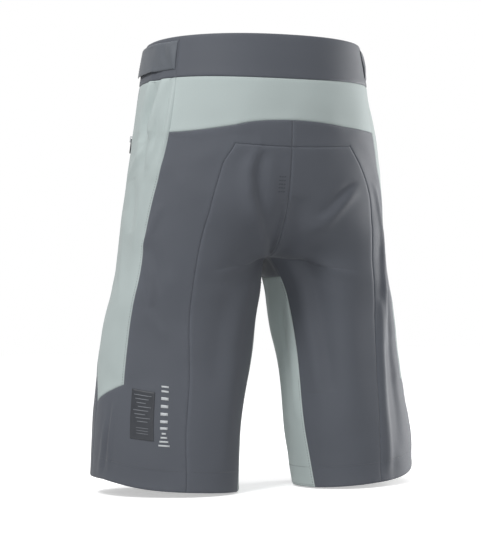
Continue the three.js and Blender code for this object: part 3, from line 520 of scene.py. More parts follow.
def finished(side):
    """Grid points and normals of one half, with its folds, in metres."""
    plain = normals_of(base[side])
    points = base[side] + plain * fold_height(side)[..., None]
    points[:crotch_line + 1, 0, 0] = 0
    points[:crotch_line + 1, front_line, 0] = 0
    points[crotch_line, front_line:, 0] = 0
    normals = normals_of(points)
    flip = np.array([side, 1, 1])
    worn = points * flip
    worn[..., 0] -= stance(worn)
    return worn * MM, normals * flip


halves = {side: finished(side) for side in (1, -1)}
print("fold heights, mm:", [round(float(np.ptp(fold_height(side))), 1) for side in (1, -1)])

# %% [markdown]
# ## Cutting panels
#
# A panel is a block of the grid, or a few blocks joined. Its two faces are laid out from the same points,
# and its rim is closed all round. Near a seam the cloth rolls inwards, so two panels meet in a fine groove,
# and the seam allowance under it lifts the cloth a little on both sides. That is modelled, not painted,
# because a seam catches the light from the side.

# %% Making a panel
made, cuts = {}, []
GRID_UNIT = 0.026   # metres of cloth that the weave takes one grid unit to be
SHEET_HANGS = {"held": "hung", "rests_on": ["cloth_waistband_back"]}
SHEET_WRAPS = {"held": "stretched", "rests_on": []}


def block_lines(c0, c1, r0, r1):
    """Numbers of the first and last grid lines of a block, across and then down."""
    return index_of(fine_c, c0), index_of(fine_c, c1), index_of(fine_r, r0), index_of(fine_r, r1)


def link(name, mesh):
    obj = bpy.data.objects.new(name, mesh)
    bpy.context.scene.collection.objects.link(obj)
    made[name] = obj
    return obj


def cut_size(blocks):
    """Greatest width and length, and the area, of the flat cut before folds are laid, in metres."""
    across, down, area = {}, {}, 0.0
    for side, c0, c1, r0, r1 in blocks:
        i0, i1, j0, j1 = block_lines(c0, c1, r0, r1)
        part = base[side][j0:j1 + 1, i0:i1 + 1] * MM
        for j, length in enumerate(np.linalg.norm(np.diff(part[:-1], axis=1), axis=-1).sum(1)):
            across[j0 + j] = across.get(j0 + j, 0) + length
        for i, length in enumerate(np.linalg.norm(np.diff(part[:, :-1], axis=0), axis=-1).sum(0)):
            down[(side, i0 + i)] = down.get((side, i0 + i), 0) + length
        first, second = part[1:, 1:] - part[:-1, :-1], part[1:, :-1] - part[:-1, 1:]
        area += 0.5 * np.linalg.norm(np.cross(first, second), axis=-1).sum()
    return max(across.values()), max(down.values()), area


def quads_of(ids):
    """Quads between neighbouring points of a grid of vertex numbers."""
    return np.stack([ids[:-1, :-1], ids[:-1, 1:], ids[1:, 1:], ids[1:, :-1]], -1).reshape(-1, 4)


def gather(blocks):
    """Shared vertices and quads of a set of blocks (side, c0, c1, r0, r1)."""
    seen, points, normals, pattern, quads = {}, [], [], [], []
    for side, c0, c1, r0, r1 in blocks:
        i0, i1, j0, j1 = block_lines(c0, c1, r0, r1)
        half_points, half_normals = halves[side]
        ids = np.zeros((j1 - j0 + 1, i1 - i0 + 1), int)
        for j in range(j0, j1 + 1):
            for i in range(i0, i1 + 1):
                column = 0 if (i == len(fine_c) - 1 and j >= crotch_line) else i
                on_middle = (j <= crotch_line and column in (0, front_line)) \
                    or (j == crotch_line and i >= front_line)
                key = (0 if on_middle else side, column, j)
                if key not in seen:
                    seen[key] = len(points)
                    points.append(half_points[j, i])
                    normals.append(half_normals[j, i])
                    pattern.append((side * fine_c[i], fine_r[j]))
                ids[j - j0, i - i0] = seen[key]
        square = quads_of(ids)
        quads.append(square if side > 0 else square[:, ::-1])
    return np.array(points), np.array(normals), np.array(pattern), np.concatenate(quads)


def rim_of(quads):
    """Directed edges on the rim of a patch of quads."""
    edges = {}
    for quad in quads:
        for k in range(4):
            edges[(int(quad[k]), int(quad[(k + 1) % 4]))] = True
    return [edge for edge in edges if (edge[1], edge[0]) not in edges]


def rim_distance(points, rim):
    """Distance in mm of each point from the nearest point on the rim."""
    targets = points[sorted({v for edge in rim for v in edge})]
    tree = kdtree.KDTree(len(targets))
    for k, p in enumerate(targets):
        tree.insert(Vector(p), k)
    tree.balance()
    return np.array([tree.find(Vector(p))[2] for p in points]) / MM


def slab(points, normals, top, under, quads, rim):
    """Vertices and faces of two layers offset along the normals, in mm, with a wall round their rim."""
    count = len(points)
    verts = np.concatenate([points + normals * (side * MM)[:, None] for side in (top, under)])
    walls = np.array([(b, a, a + count, b + count) for a, b in rim])
    return verts, np.concatenate([quads, quads[:, ::-1] + count, walls])


ROLL_DEPTH, ROLL_WIDTH = 0.60, 0.8
ALLOWANCE_LIFT, ALLOWANCE_AT, ALLOWANCE_WIDTH = 0.26, 4.5, 3.4


def seam_profile(d):
    """Height in mm of the outer face at a distance in mm from the panel's edge."""
    allowance = ALLOWANCE_LIFT * np.exp(-((d - ALLOWANCE_AT) / ALLOWANCE_WIDTH) ** 2)
    return allowance - ROLL_DEPTH * np.exp(-(d / ROLL_WIDTH) ** 2)


def cloth_mesh(name, verts, faces, pattern, edge, body="shell", node=None):
    """A piece on a body, with its flat pattern as a UV layer and how near each point is to a seam."""
    mesh = bpy.data.meshes.new(name)
    mesh.from_pydata(verts.tolist(), [], faces.tolist())
    corner = np.zeros(len(mesh.loops), int)
    mesh.loops.foreach_get("vertex_index", corner)
    uv = mesh.uv_layers.new(name="cloth")
    uv.data.foreach_set("uv", (pattern[corner] * GRID_UNIT).ravel())
    near_seam = mesh.attributes.new("seam", "FLOAT", "POINT")
    near_seam.data.foreach_set("value", edge.astype(np.float32))
    mesh.polygons.foreach_set("use_smooth", np.ones(len(mesh.polygons), bool))
    mesh.update()
    obj = link(name, mesh)
    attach(obj, body)
    if node:
        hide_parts(node)
    return obj


def panel(name, blocks, node, thickness=1.1, lift=0.0, profile=seam_profile, body="shell", depth=None,
          held=SHEET_HANGS):
    """A cut piece of cloth with two faces. Its rise follows a profile from its seams inwards."""
    points, normals, pattern, quads = gather(blocks)
    rim = rim_of(quads)
    d = rim_distance(points, rim)
    sunk = depth(pattern[:, 0]) if depth else 0
    verts, faces = slab(points, normals, profile(d) + lift + thickness / 2 - sunk,
                        profile(d) * 0.9 + lift - thickness / 2 - sunk, quads, rim)
    obj = cloth_mesh(name, verts, faces, np.tile(pattern, (2, 1)), np.tile(np.exp(-d / 5.0), 2), body, node)
    width, length, area = cut_size(blocks)
    cuts.append((name, width, length, area))


def both(c0, c1, r0, r1):
    return [(1, c0, c1, r0, r1), (-1, c0, c1, r0, r1)]

# %% [markdown]
# ### The shell
#
# The back has a mint yoke, a slate strip that runs under it and turns down the outside of each leg, and a
# seat and leg panel let into it. Mint panels cover the sides and the inner thighs. Each name below is one
# cut piece of cloth, given as blocks of the pattern grid.

# %% Shell panels
band_look = dict(lift=0.5, thickness=1.6, held=SHEET_WRAPS)
panel("cloth_waistband_back", both(0, REAR, WAIST, BAND_FOOT), "waistband_back", **band_look)
panel("cloth_waistband_left", [(1, REAR, FLY, WAIST, BAND_FOOT)], "waistband_front_left", **band_look)
panel("cloth_waistband_right", [(-1, REAR, FRONT, WAIST, BAND_FOOT)], "waistband_front_right", **band_look)
panel("cloth_waistband_end", [(1, FLY, FRONT, WAIST, BAND_FOOT)], "waistband_tab_end", body="fly",
      **band_look)
panel("cloth_yoke", both(0, REAR, BAND_FOOT, YOKE_FOOT), "back_yoke")
# The gusset takes the slate finish, not mint; its dark colour partly stands for painted shade in the crotch
# between the legs.
panel("cloth_gusset", both(FRONT, AROUND, CROTCH_ROW, GUSSET_FOOT), "crotch_gusset")
panel("cloth_fly_flap", [(1, FLY, FRONT, BAND_FOOT, FLY_FOOT)], "fly_flap", body="fly")
for label, side in SIDES:
    outer = [(side, 0, REAR, YOKE_FOOT, STRIP_FOOT), (side, SEAT, REAR, STRIP_FOOT, HEM),
             (side, REAR, SIDE, SIDE_FOOT, HEM)]
    panel(f"cloth_outer_back_{label}", outer, f"outer_back_{label}")
    panel(f"cloth_seat_leg_{label}", [(side, 0, SEAT, STRIP_FOOT, HEM)], f"seat_leg_{label}")
    panel(f"cloth_side_{label}", [(side, REAR, SIDE, BAND_FOOT, SIDE_FOOT)], f"side_panel_{label}")
    panel(f"cloth_inner_thigh_{label}", [(side, FRONT, AROUND, GUSSET_FOOT, HEM)], f"inner_thigh_{label}")
    front = [(side, POCKET, FRONT, FLY_FOOT, HEM), (side, SIDE, POCKET, POCKET_FOOT, HEM),
             (side, SIDE, POCKET, BAND_FOOT, YOKE_FOOT),
             (side, POCKET, FLY if side > 0 else FRONT, BAND_FOOT, FLY_FOOT)]
    panel(f"cloth_front_{label}", front, f"front_panel_{label}")
print("panels:", len(made))

# %% [markdown]
# ### Linings, facings and pocket bags
#
# Inside the waist a facing covers the band, and a wide facing stiffens each hem. They lie a millimetre or
# two under the shell. They could be left out, because little of them shows, but the shorts are looked at
# from below and through the waist too, and an opening with no inside looks like paper.

# %% Linings
def under_rim(d):
    """Flat, with a thinner edge, as a turned facing is."""
    return -0.35 * np.exp(-(d / 1.2) ** 2)


def bag_profile(d):
    """A pocket bag is held at its edge and hangs free in the middle."""
    return -8.0 * smooth(d / 26)


lining_look = dict(thickness=1.2, lift=-1.9, profile=under_rim)
panel("cloth_waist_facing", [(1, 0, FLY, WAIST, BAND_FOOT), (-1, 0, FRONT - 1, WAIST, BAND_FOOT)],
      "waistband_facing", **lining_look)
for label, side in SIDES:
    panel(f"cloth_hem_facing_{label}", [(side, 0, AROUND, FACING_TOP, HEM)], f"hem_facing_{label}",
          **lining_look)
    panel(f"cloth_pocket_bag_{label}", [(side, REAR + 1, FLY - 2, BAND_FOOT + 1, CROTCH_ROW - 1)],
          f"pocket_bag_{label}", thickness=0.7, lift=-1.7, profile=bag_profile)


def behind_zip(column, depths):
    """Depth under the front for layers that start inside the left front and end inside the right one."""
    past_middle = np.where(column < 0, 2 * FRONT + column, column)
    return np.interp(past_middle, [FLY, FRONT - 1, FRONT, FRONT + 1], depths)


middle_front = [(1, FLY, FRONT), (-1, FRONT - 1, FRONT)]
panel("cloth_fly_shield", [(*part, BAND_FOOT, FLY_FOOT) for part in middle_front], "fly_shield",
      thickness=1.0, profile=under_rim, depth=lambda c: behind_zip(c, [11.9, 11.9, 10.9, 1.9]))
panel("cloth_underlap", [(*part, WAIST, BAND_FOOT) for part in middle_front], "waistband_underlap",
      thickness=1.5, profile=under_rim, depth=lambda c: behind_zip(c, [5.6, 5.6, 5.6, 2.0]))
for name, width, length, area in cuts:
    print(f"{name}: {width * 1000:.0f} x {length * 1000:.0f} mm cut, {area * 1e4:.0f} cm2")

# %% [markdown]
# ## Pieces that lie on the cloth
#
# The adjuster tabs, the patch and the marks don't follow the grid lines. They are laid on the finished cloth
# by looking up its point and normal at any place on the pattern, so they sit on its folds too.

# %% A place on the cloth
def on_cloth(side, column, row, lift=0.0):
    """Points and normals in metres on one half at pattern places, lifted in mm."""
    column, row, lift = np.broadcast_arrays(np.asarray(column, float), np.asarray(row, float), lift)
    i = np.clip(np.searchsorted(fine_c, column, side="right") - 1, 0, len(fine_c) - 2)
    j = np.clip(np.searchsorted(fine_r, row, side="right") - 1, 0, len(fine_r) - 2)
    a = ((column - fine_c[i]) / (fine_c[i + 1] - fine_c[i]))[..., None]
    b = ((row - fine_r[j]) / (fine_r[j + 1] - fine_r[j]))[..., None]
    found = [mix(mix(values[j, i], values[j, i + 1], a), mix(values[j + 1, i], values[j + 1, i + 1], a), b)
             for values in halves[side]]
    normal = unit(found[1])
    return found[0] + normal * lift[..., None] * MM, normal


def on_both(columns, rows, lift):
    """The same for signed columns, which are negative on the right half."""
    left, right = on_cloth(1, np.abs(columns), rows, lift), on_cloth(-1, np.abs(columns), rows, lift)
    return [np.where((columns >= 0)[..., None], a, b) for a, b in zip(left, right)]


def laid(name, side, columns, rows, lift, thickness, node, flat, body="shell", rests_on="waistband_back"):
    """A thin piece on the cloth from grids of columns and rows. Side 0 crosses from one half to the other."""
    points, normals = on_cloth(side, columns, rows, lift) if side else on_both(columns, rows, lift)
    points, normals = points.reshape(-1, 3), normals.reshape(-1, 3)
    quads = quads_of(np.arange(columns.size).reshape(columns.shape))
    if side < 0 or (side == 0 and columns[0, 0] > columns[0, -1]):
        quads = quads[:, ::-1]
    rim = rim_of(quads)
    d = rim_distance(points, rim)
    half = thickness / 2 - 0.42 * thickness * np.exp(-(d / 0.8) ** 2)
    verts, faces = slab(points, normals, half, -half, quads, rim)
    places = np.stack([side * columns.ravel(), rows.ravel()], -1)
    obj = cloth_mesh(name, verts, faces, np.tile(places, (2, 1)), np.tile(np.exp(-d / 3.0), 2), body, node)


def patch_grid(c0, c1, r0, r1, wide, high, slant=0.0):
    """Columns and rows of a small grid, wide points by high, that may lean along the leg."""
    rows, columns = np.meshgrid(np.linspace(r0, r1, high), np.linspace(c0, c1, wide), indexing="ij")
    return columns - slant * (rows - SIDE_FOOT), rows


# %% [markdown]
# ### Waist adjusters
#
# Each tab is sewn down behind the hip, runs forward over the band and holds by hook and loop. Its free end
# is rounded. Pulled tight, the cloth of the tab gathers in short upright wrinkles near the root, which are
# laid as waves that die out along the tab.

# %% Adjuster tabs and their pads
TAB_FROM, TAB_TO, TAB_TOP, TAB_FOOT = 6.06, 10.6, 0.22, 1.62
TAB_ROUND_FROM, TAB_END_WIDTH = 0.93, 0.62
GATHER_HEIGHT, BROAD_HEIGHT = 0.95, 0.40


def tab_lift(columns):
    """Height of the tab over the band in mm: low at its root, higher where it passes over its own pads."""
    return mix(1.9, 4.3, smooth((columns - 6.9) / 1.1))


tab_u, tab_v = np.meshgrid(np.linspace(0, 1, 76), np.linspace(-1, 1, 25))
past_round = np.clip((tab_u - TAB_ROUND_FROM) / (1 - TAB_ROUND_FROM), 0, 1)
round_end = np.sqrt(1 - past_round ** 2)
tab_columns = mix(TAB_FROM, TAB_TO, tab_u)
tab_rows = (TAB_TOP + TAB_FOOT) / 2 + (TAB_FOOT - TAB_TOP) / 2 * tab_v * mix(TAB_END_WIDTH, 1, round_end)
inside_edges = 1 - tab_v ** 4
near_root = smooth(tab_u / 0.06) * np.exp(-(tab_u / 0.34) ** 2) * inside_edges
gathers = (1 + np.sin(26 * tab_u + 2.2 * np.sin(1.4 * tab_v))) * near_root
broad = np.sin(9 * tab_u + 1.0 + 0.8 * tab_v) * inside_edges
tab_rise = tab_lift(tab_columns) + GATHER_HEIGHT * gathers + BROAD_HEIGHT * broad
for label, side in SIDES:
    laid(f"adjuster_strap_{label}", side, tab_columns, tab_rows, tab_rise, 1.5, f"adjuster_tab_{label}",
         (0.094, 0.036), f"adjuster_{label}")
    laid(f"hook_strip_{label}", side, *patch_grid(8.2, 10.35, 0.36, 1.48, 30, 12), 2.8, 0.7,
         f"hook_pad_{label}", (0.046, 0.029), f"adjuster_{label}")
    laid(f"loop_strip_{label}", side, *patch_grid(8.0, 13.2, 0.30, 1.54, 60, 12), 1.65, 0.7,
         f"loop_pad_{label}", (0.110, 0.032))
print("tab rises to", round(float(tab_rise.max()), 1), "mm off the band")

# %% [markdown]
# ### Patch, mark and label
#
# A dark film patch sits on the left leg, with a light upright mark beside it. On shorts like these both
# would carry lettering. Here the patch has plain pale rules, and the mark is a run of plain bars.

# %% Patch and mark
SLANT = 0.05
laid("film_patch", 1, *patch_grid(4.5, 5.5, 18.05, 19.78, 22, 34, SLANT), 1.0, 0.35, "leg_patch",
     (0.035, 0.048), rests_on="cloth_outer_back_left")


def bars(name, boxes, lift, thickness, node=None, slant=SLANT):
    """Small flat bars on the left half, joined in one piece, each given as (c0, c1, r0, r1)."""
    quads = quads_of(np.arange(16).reshape(4, 4))
    rim = rim_of(quads)
    half = np.full(16, thickness / 2)
    verts, faces, places = [], [], []
    for k, box in enumerate(boxes):
        columns, rows = patch_grid(*box, 4, 4, slant)
        points, normals = on_cloth(1, columns, rows, lift)
        bar, sides = slab(points.reshape(-1, 3), normals.reshape(-1, 3), half, -half, quads, rim)
        verts.append(bar)
        faces.append(sides + 32 * k)
        places += [np.stack([columns.ravel(), rows.ravel()], -1)] * 2
    cloth_mesh(name, np.concatenate(verts), np.concatenate(faces), np.concatenate(places),
               np.zeros(32 * len(boxes)), node=node)


mark = [(3.92, 4.24, r, r + 0.10) for r in np.linspace(17.66, 19.2, 7)]
mark += [(3.84 + 0.05 * k, 4.32 - 0.05 * k, 19.90 - 0.16 * k, 19.97 - 0.16 * k) for k in range(4)]
bars("light_mark", mark, 0.78, 0.16, "reflective_transfer")
rules = [(4.62 + 0.1 * (k % 3), 5.38 - 0.07 * (k % 4), 18.2 + 0.12 * k, 18.225 + 0.12 * k)
         for k in range(8)]
rules += [(4.7, 5.2, 19.3 + 0.11 * k, 19.32 + 0.11 * k) for k in range(3)]
bars("patch_rules", rules, 1.24, 0.12)
# The vents are laser-cut holes, drawn as dark bars laid on the cloth; their dark colour is painted shade
# inside the holes.
vents = [(0.06 + 0.1 * i, 0.12 + 0.1 * i, 6.45 + 0.19 * k, 6.51 + 0.19 * k)
         for k in range(5) for i in range(4)]
bars("vent_eyelets", vents, 0.66, 0.12, slant=0)


# %% Gripper tape and size label
# Both cross the centre back, so their columns run from the left half to the right one (negative).
laid("gripper_strip", 0, *patch_grid(10.5, -10.5, 0.5, 1.3, 120, 8), -2.9, 0.7, "gripper_tape",
     (0.420, 0.021), rests_on="cloth_waist_facing")
laid("inside_label", 0, *patch_grid(1.1, -1.1, 1.45, 2.8, 20, 16), -3.2, 0.35, "size_label",
     (0.080, 0.035), rests_on="cloth_waist_facing")
print("pieces so far:", len(made))

# %% [markdown]
# ## Topstitching
#
# Thread shows along every seam of technical shorts. A painted dotted line would look flat close up, so each
# stitch is a small bead of thread of its own, pressed a little into the cloth. All stitches that move with
# one body are one piece. A path is walked in real millimetres, so the stitch length stays the same where
# the pattern stretches.

# %% Stitch helpers
STITCH, STITCH_GAP, THREAD, THREAD_LIFT = 2.5, 0.9, 0.34, 0.62   # mm
BESIDE = 2.2   # mm from a seam to its topstitching


def walk(side, places, aside):
    """Evenly spaced stitch ends beside a line of pattern places, aside mm to one side of it."""
    line = np.array(places, float)
    share = np.linspace(0, len(line) - 1, 60 * (len(line) - 1) + 1)
    columns = np.interp(share, range(len(line)), line[:, 0])
    rows = np.interp(share, range(len(line)), line[:, 1])
    points, normals = on_cloth(side, columns, rows, THREAD_LIFT)
    along_line = unit(np.gradient(points, axis=0))
    points = points + np.cross(normals, along_line) * aside * MM
    run = np.concatenate([[0], np.cumsum(np.linalg.norm(np.diff(points, axis=0), axis=1))]) / MM
    starts = np.arange(0.5, run[-1] - STITCH, STITCH + STITCH_GAP)

    def at(distance, values):
        return np.stack([np.interp(distance, run, values[:, k]) for k in range(3)], -1)

    return at(starts, points), at(starts + STITCH, points), unit(at(starts + STITCH / 2, normals))


def thread_beads(name, walks, body="shell"):
    """One mesh of thread beads: each has a six-sided waist in the middle and at both ends, and two tips."""
    first, last, up = (np.concatenate([w[k] for w in walks]) for k in range(3))
    along_bead = unit(last - first)
    across_bead = unit(np.cross(up, along_bead))
    turn = np.arange(6) * np.pi / 3
    rings = []
    for share, size in ((0.12, 0.75), (0.5, 1.0), (0.88, 0.75)):
        middle = mix(first, last, share)
        for angle in turn:
            off = np.cos(angle) * across_bead + np.sin(angle) * up * 0.75
            rings.append(middle + off * size * THREAD * MM)
    dip = up * 0.35 * MM
    verts = np.stack([first - dip, *rings, last - dip], 1)
    faces = [(0, 1 + (k + 1) % 6, 1 + k) for k in range(6)]
    for ring in (1, 7):
        faces += [(ring + k, ring + (k + 1) % 6, ring + 6 + (k + 1) % 6) for k in range(6)]
        faces += [(ring + k, ring + 6 + (k + 1) % 6, ring + 6 + k) for k in range(6)]
    faces += [(19, 13 + k, 13 + (k + 1) % 6) for k in range(6)]
    count = len(first)
    every = (np.array(faces)[None] + 20 * np.arange(count)[:, None, None]).reshape(-1, 3)
    cloth_mesh(name, verts.reshape(-1, 3), every, np.zeros((20 * count, 2)), np.zeros(20 * count), body)


def down_seam(column, r0, r1, count=12):
    return [(column, r) for r in np.linspace(r0, r1, count)]


def along_row(row, c0, c1, count=12):
    return [(c, row) for c in np.linspace(c0, c1, count)]


# %% Stitch rows
# Each line is given on one half, with how far aside in mm its stitches run. The right half mirrors it.
centre_back = down_seam(0, YOKE_FOOT, CROTCH_ROW - 0.4, 20)
SLATE_LINES = [
    (along_row(BAND_FOOT, 0, REAR), -BESIDE), (along_row(0.12, 0, FLY), 0),
    (along_row(YOKE_FOOT, 0, REAR), BESIDE), (centre_back, 2.4), (centre_back, 4.6),
    (along_row(STRIP_FOOT, 0, SEAT), BESIDE),
    (down_seam(SEAT, STRIP_FOOT, HEM, 24), -BESIDE), (down_seam(REAR, YOKE_FOOT, SIDE_FOOT, 20), -BESIDE),
    (along_row(SIDE_FOOT, REAR, SIDE), BESIDE), (down_seam(SIDE, POCKET_FOOT, HEM, 16), -BESIDE),
    (down_seam(FRONT, GUSSET_FOOT, HEM, 16), -BESIDE), (down_seam(0, GUSSET_FOOT + 0.2, HEM, 16), BESIDE),
    (along_row(FACING_TOP, 0, AROUND, 26), 0), (along_row(HEM - 0.12, 0, AROUND, 26), 0),
    (down_seam(POCKET, YOKE_FOOT - 0.2, POCKET_FOOT + 0.2), 2.0),
]
MINT_LINES = [(along_row(BAND_FOOT, 0, SIDE), BESIDE), (down_seam(SIDE, BAND_FOOT, YOKE_FOOT, 4), BESIDE)]
slate_rows, mint_rows = [[walk(side, line, aside * side) for side in (1, -1) for line, aside in lines]
                         for lines in (SLATE_LINES, MINT_LINES)]
thread_beads("slate_stitches", slate_rows)
thread_beads("mint_stitches", mint_rows)

# The tab's stitches stand on the tab, which rises along its length.
TAB_UNIT = [20, 25]   # mm of band to a column and to a row
root, shoulder, tip = TAB_FROM + 0.15, TAB_TO - 0.6, TAB_TO - 0.25
top, foot, corner = TAB_TOP + 0.12, TAB_FOOT - 0.12, 0.23
tab_edge = np.array([(root, top), (shoulder, top), (tip, top + corner), (tip, foot - corner),
                     (shoulder, foot), (root, foot), (root, top)])
edge_run = np.concatenate([[0], np.cumsum(np.hypot(*(np.diff(tab_edge, axis=0) * TAB_UNIT).T))])
for label, side in SIDES:
    first, last, up = walk(side, tab_edge, 0)
    at_column = np.interp(np.linspace(0, 1, len(first)), edge_run / edge_run[-1], tab_edge[:, 0])
    raised = up * (tab_lift(at_column) + 0.1)[:, None] * MM
    thread_beads(f"adjuster_stitches_{label}", [(first + raised, last + raised, up)], f"adjuster_{label}")
fly_curve = [(FLY + 0.12, BAND_FOOT), (FLY + 0.12, 5.4), (FLY + 0.5, 6.4), (FRONT - 0.4, FLY_FOOT - 0.1)]
fly_front = down_seam(FRONT - 0.14, BAND_FOOT, FLY_FOOT - 0.3)
thread_beads("fly_stitches", [walk(1, line, 0) for line in (fly_curve, fly_front)], "fly")
print("stitches:", sum(len(w[0]) for w in slate_rows + mint_rows))

# %% [markdown]
# ## Zips
#
# The tapes, sliders, pulls and snaps keep the shape the frame gives them, with their edges softened by a
# bevel. What they lack is the coil: a zip is a nylon coil sewn to each tape, and the two coils mesh. Each
# tooth is made as a short bent bar, and a loop sets them along the tape's inner edge.

# %% Coil teeth
COIL_PITCH, COIL_WIRE = 1.5, 0.42   # mm
# A tooth's rings: how far past the tape's edge and above its face in mm, and share of the wire's thickness.
TOOTH = ((-2.2, 0.15, 1.0), (-1.0, 0.55, 1.0), (0.3, 0.45, 1.0), (1.35, 0.15, 0.8))


def tape_axes(node):
    """Middle, long, wide and thin directions of a flat tape, from its own corners, in metres."""
    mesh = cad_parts[node].data
    points = np.array([v.co for v in mesh.vertices])
    middle = points.mean(0)
    thin, wide, long_way = np.linalg.eigh(np.cov((points - middle).T))[1].T
    half = [np.abs((points - middle) @ axis).max() for axis in (long_way, wide, thin)]
    return middle, (long_way, wide, thin), half


def coil(node, partner, outward):
    """Teeth along the edge of one tape that faces its partner."""
    name = node.replace("tape", "coil")
    middle, (long_way, wide, thin), (half_long, half_wide, half_thin) = tape_axes(node)
    other = tape_axes(partner)[0]
    if (other - middle) @ wide < 0:
        wide = -wide
    if thin @ np.array(outward) < 0:
        thin = -thin
    verts, faces = [], []
    shift = 0.5 if node < partner else 0.0
    for k in range(int(2 * half_long * 1000 / COIL_PITCH) - 2):
        y = -half_long + (k + 1 + shift) * COIL_PITCH * MM
        for x, z, grow in TOOTH:
            centre = middle + long_way * y + wide * (half_wide + x * MM) + thin * (half_thin + z * MM)
            for angle in np.arange(6) * np.pi / 3:
                round_wire = long_way * np.cos(angle) + thin * np.sin(angle)
                verts.append(centre + round_wire * COIL_WIRE * grow * MM)
        start = 24 * k
        for ring in range(3):
            a = start + 6 * ring
            faces += [(a + j, a + (j + 1) % 6, a + 6 + (j + 1) % 6, a + 6 + j) for j in range(6)]
        faces += [tuple(start + j for j in range(5, -1, -1)), tuple(start + 18 + j for j in range(6))]
    if np.dot(np.cross(long_way, thin), wide) < 0:
        faces = [face[::-1] for face in faces]
    mesh = bpy.data.meshes.new(name)
    mesh.from_pydata([tuple(v) for v in verts], [], faces)
    mesh.polygons.foreach_set("use_smooth", np.ones(len(mesh.polygons), bool))
    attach(link(name, mesh), "shell")


TAPES = [(f"pocket_tape_rear_{label}", f"pocket_tape_front_{label}", (side, -0.2, 0))
         for label, side in SIDES]
for first_tape, second_tape, outward in [*TAPES, ("fly_tape_left", "fly_tape_right", (0, -1, 0))]:
    coil(first_tape, second_tape, outward)
    coil(second_tape, first_tape, outward)

hardware = [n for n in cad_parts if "slider" in n or "pull" in n or "snap" in n]
for node in hardware:
    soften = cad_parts[node].modifiers.new("soft edges", "BEVEL")
    soften.width, soften.segments, soften.limit_method = 0.00022, 2, "ANGLE"
print("hardware softened:", len(hardware))

# %% [markdown]
# ## Finishes
#
# Three things make cloth read as cloth: the weave, a slow drift in shade, and seams painted paler along
# their edges, partly as worn cloth and partly as a painted highlight on the raised seam. Each is a node
# group used by every cloth here with its own values. A scanned texture would need a picture file, and it
# would stretch where the pattern stretches.

# %% Node group helpers
def new_group(name, inputs, outputs):
    """A shader node group with named number sockets. Each input is (name, default)."""
    group = bpy.data.node_groups.new(name, "ShaderNodeTree")
    for label, value in inputs:
        socket = group.interface.new_socket(label, in_out="INPUT", socket_type="NodeSocketFloat")
        socket.default_value = value
    for label in outputs:
        group.interface.new_socket(label, in_out="OUTPUT", socket_type="NodeSocketFloat")
    return group, group.nodes.new("NodeGroupInput"), group.nodes.new("NodeGroupOutput")


def math_node(tree, operation, a, b=None, c=None):
    """A Math node. Each operand is a number or a socket."""
    node = tree.nodes.new("ShaderNodeMath")
    node.operation = operation
    for place, value in enumerate((a, b, c)):
        if value is None:
            continue
        if isinstance(value, (int, float)):
            node.inputs[place].default_value = value
        else:
            tree.links.new(value, node.inputs[place])
    return node.outputs[0]


def noise_at(tree, where, scale, detail=3.0):
    node = tree.nodes.new("ShaderNodeTexNoise")
    node.inputs["Scale"].default_value = scale
    node.inputs["Detail"].default_value = detail
    tree.links.new(where, node.inputs["Vector"])
    return node.outputs["Fac"]


def object_place(tree):
    return tree.nodes.new("ShaderNodeTexCoord").outputs["Object"]


# %% The weave
def weave_group():
    """Over-and-under threads on the flat pattern, as a height and a shade."""
    group, source, sink = new_group("plain_weave", [("Threads per metre", 1800.0), ("Slub", 0.3)],
                                    ["Height", "Shade"])
    flat = group.nodes.new("ShaderNodeUVMap")
    flat.uv_map = "cloth"
    split = group.nodes.new("ShaderNodeSeparateXYZ")
    group.links.new(flat.outputs[0], split.inputs[0])
    turns = math_node(group, "MULTIPLY", source.outputs["Threads per metre"], math.pi)
    warp = math_node(group, "SINE", math_node(group, "MULTIPLY", split.outputs[0], turns))
    weft = math_node(group, "SINE", math_node(group, "MULTIPLY", split.outputs[1], turns))
    crossing = math_node(group, "MULTIPLY", warp, weft)
    height = math_node(group, "MULTIPLY_ADD", crossing, 0.5, 0.5)
    slub = noise_at(group, flat.outputs[0], 620.0, 2.0)
    uneven = math_node(group, "MULTIPLY", slub, source.outputs["Slub"])
    group.links.new(math_node(group, "ADD", height, uneven), sink.inputs["Height"])
    group.links.new(math_node(group, "MULTIPLY_ADD", height, 0.5, uneven), sink.inputs["Shade"])
    return group


def drift_group():
    """Slow change of shade over a hand's width, with finer flecks, from 0 to 1."""
    group, source, sink = new_group("shade_drift", [("Flecks", 0.3)], ["Drift"])
    place = object_place(group)
    slow = noise_at(group, place, 9.0, 4.0)
    flecks = noise_at(group, place, 700.0, 2.0)
    total = math_node(group, "MULTIPLY_ADD", flecks, source.outputs["Flecks"], slow)
    whole = math_node(group, "ADD", source.outputs["Flecks"], 1.0)
    group.links.new(math_node(group, "DIVIDE", total, whole), sink.inputs["Drift"])
    return group


def seam_wear_and_highlight_group():
    """Paler cloth near a seam, broken up by noise: partly worn, partly a painted highlight on the seam's
    edge.
    """
    group, source, sink = new_group("seam_wear_and_highlight", [("Amount", 0.5)], ["Wear", "Pucker"])
    near = group.nodes.new("ShaderNodeAttribute")
    near.attribute_name = "seam"
    place = object_place(group)
    broken = noise_at(group, place, 160.0, 3.0)
    # Paler near the seam: partly worn cloth, partly a painted highlight on its raised edge.
    worn = math_node(group, "MULTIPLY", near.outputs["Fac"], broken)
    group.links.new(math_node(group, "MULTIPLY", worn, source.outputs["Amount"]), sink.inputs["Wear"])
    pucker = noise_at(group, place, 210.0, 2.0)
    group.links.new(math_node(group, "MULTIPLY", near.outputs["Fac"], pucker), sink.inputs["Pucker"])
    return group


WEAVE, DRIFT, SEAM_WEAR_AND_HIGHLIGHT = weave_group(), drift_group(), seam_wear_and_highlight_group()


# %% Cloth finish
def use_group(tree, group, **values):
    node = tree.nodes.new("ShaderNodeGroup")
    node.node_tree = group
    for label, value in values.items():
        node.inputs[label.replace("_", " ")].default_value = value
    return node


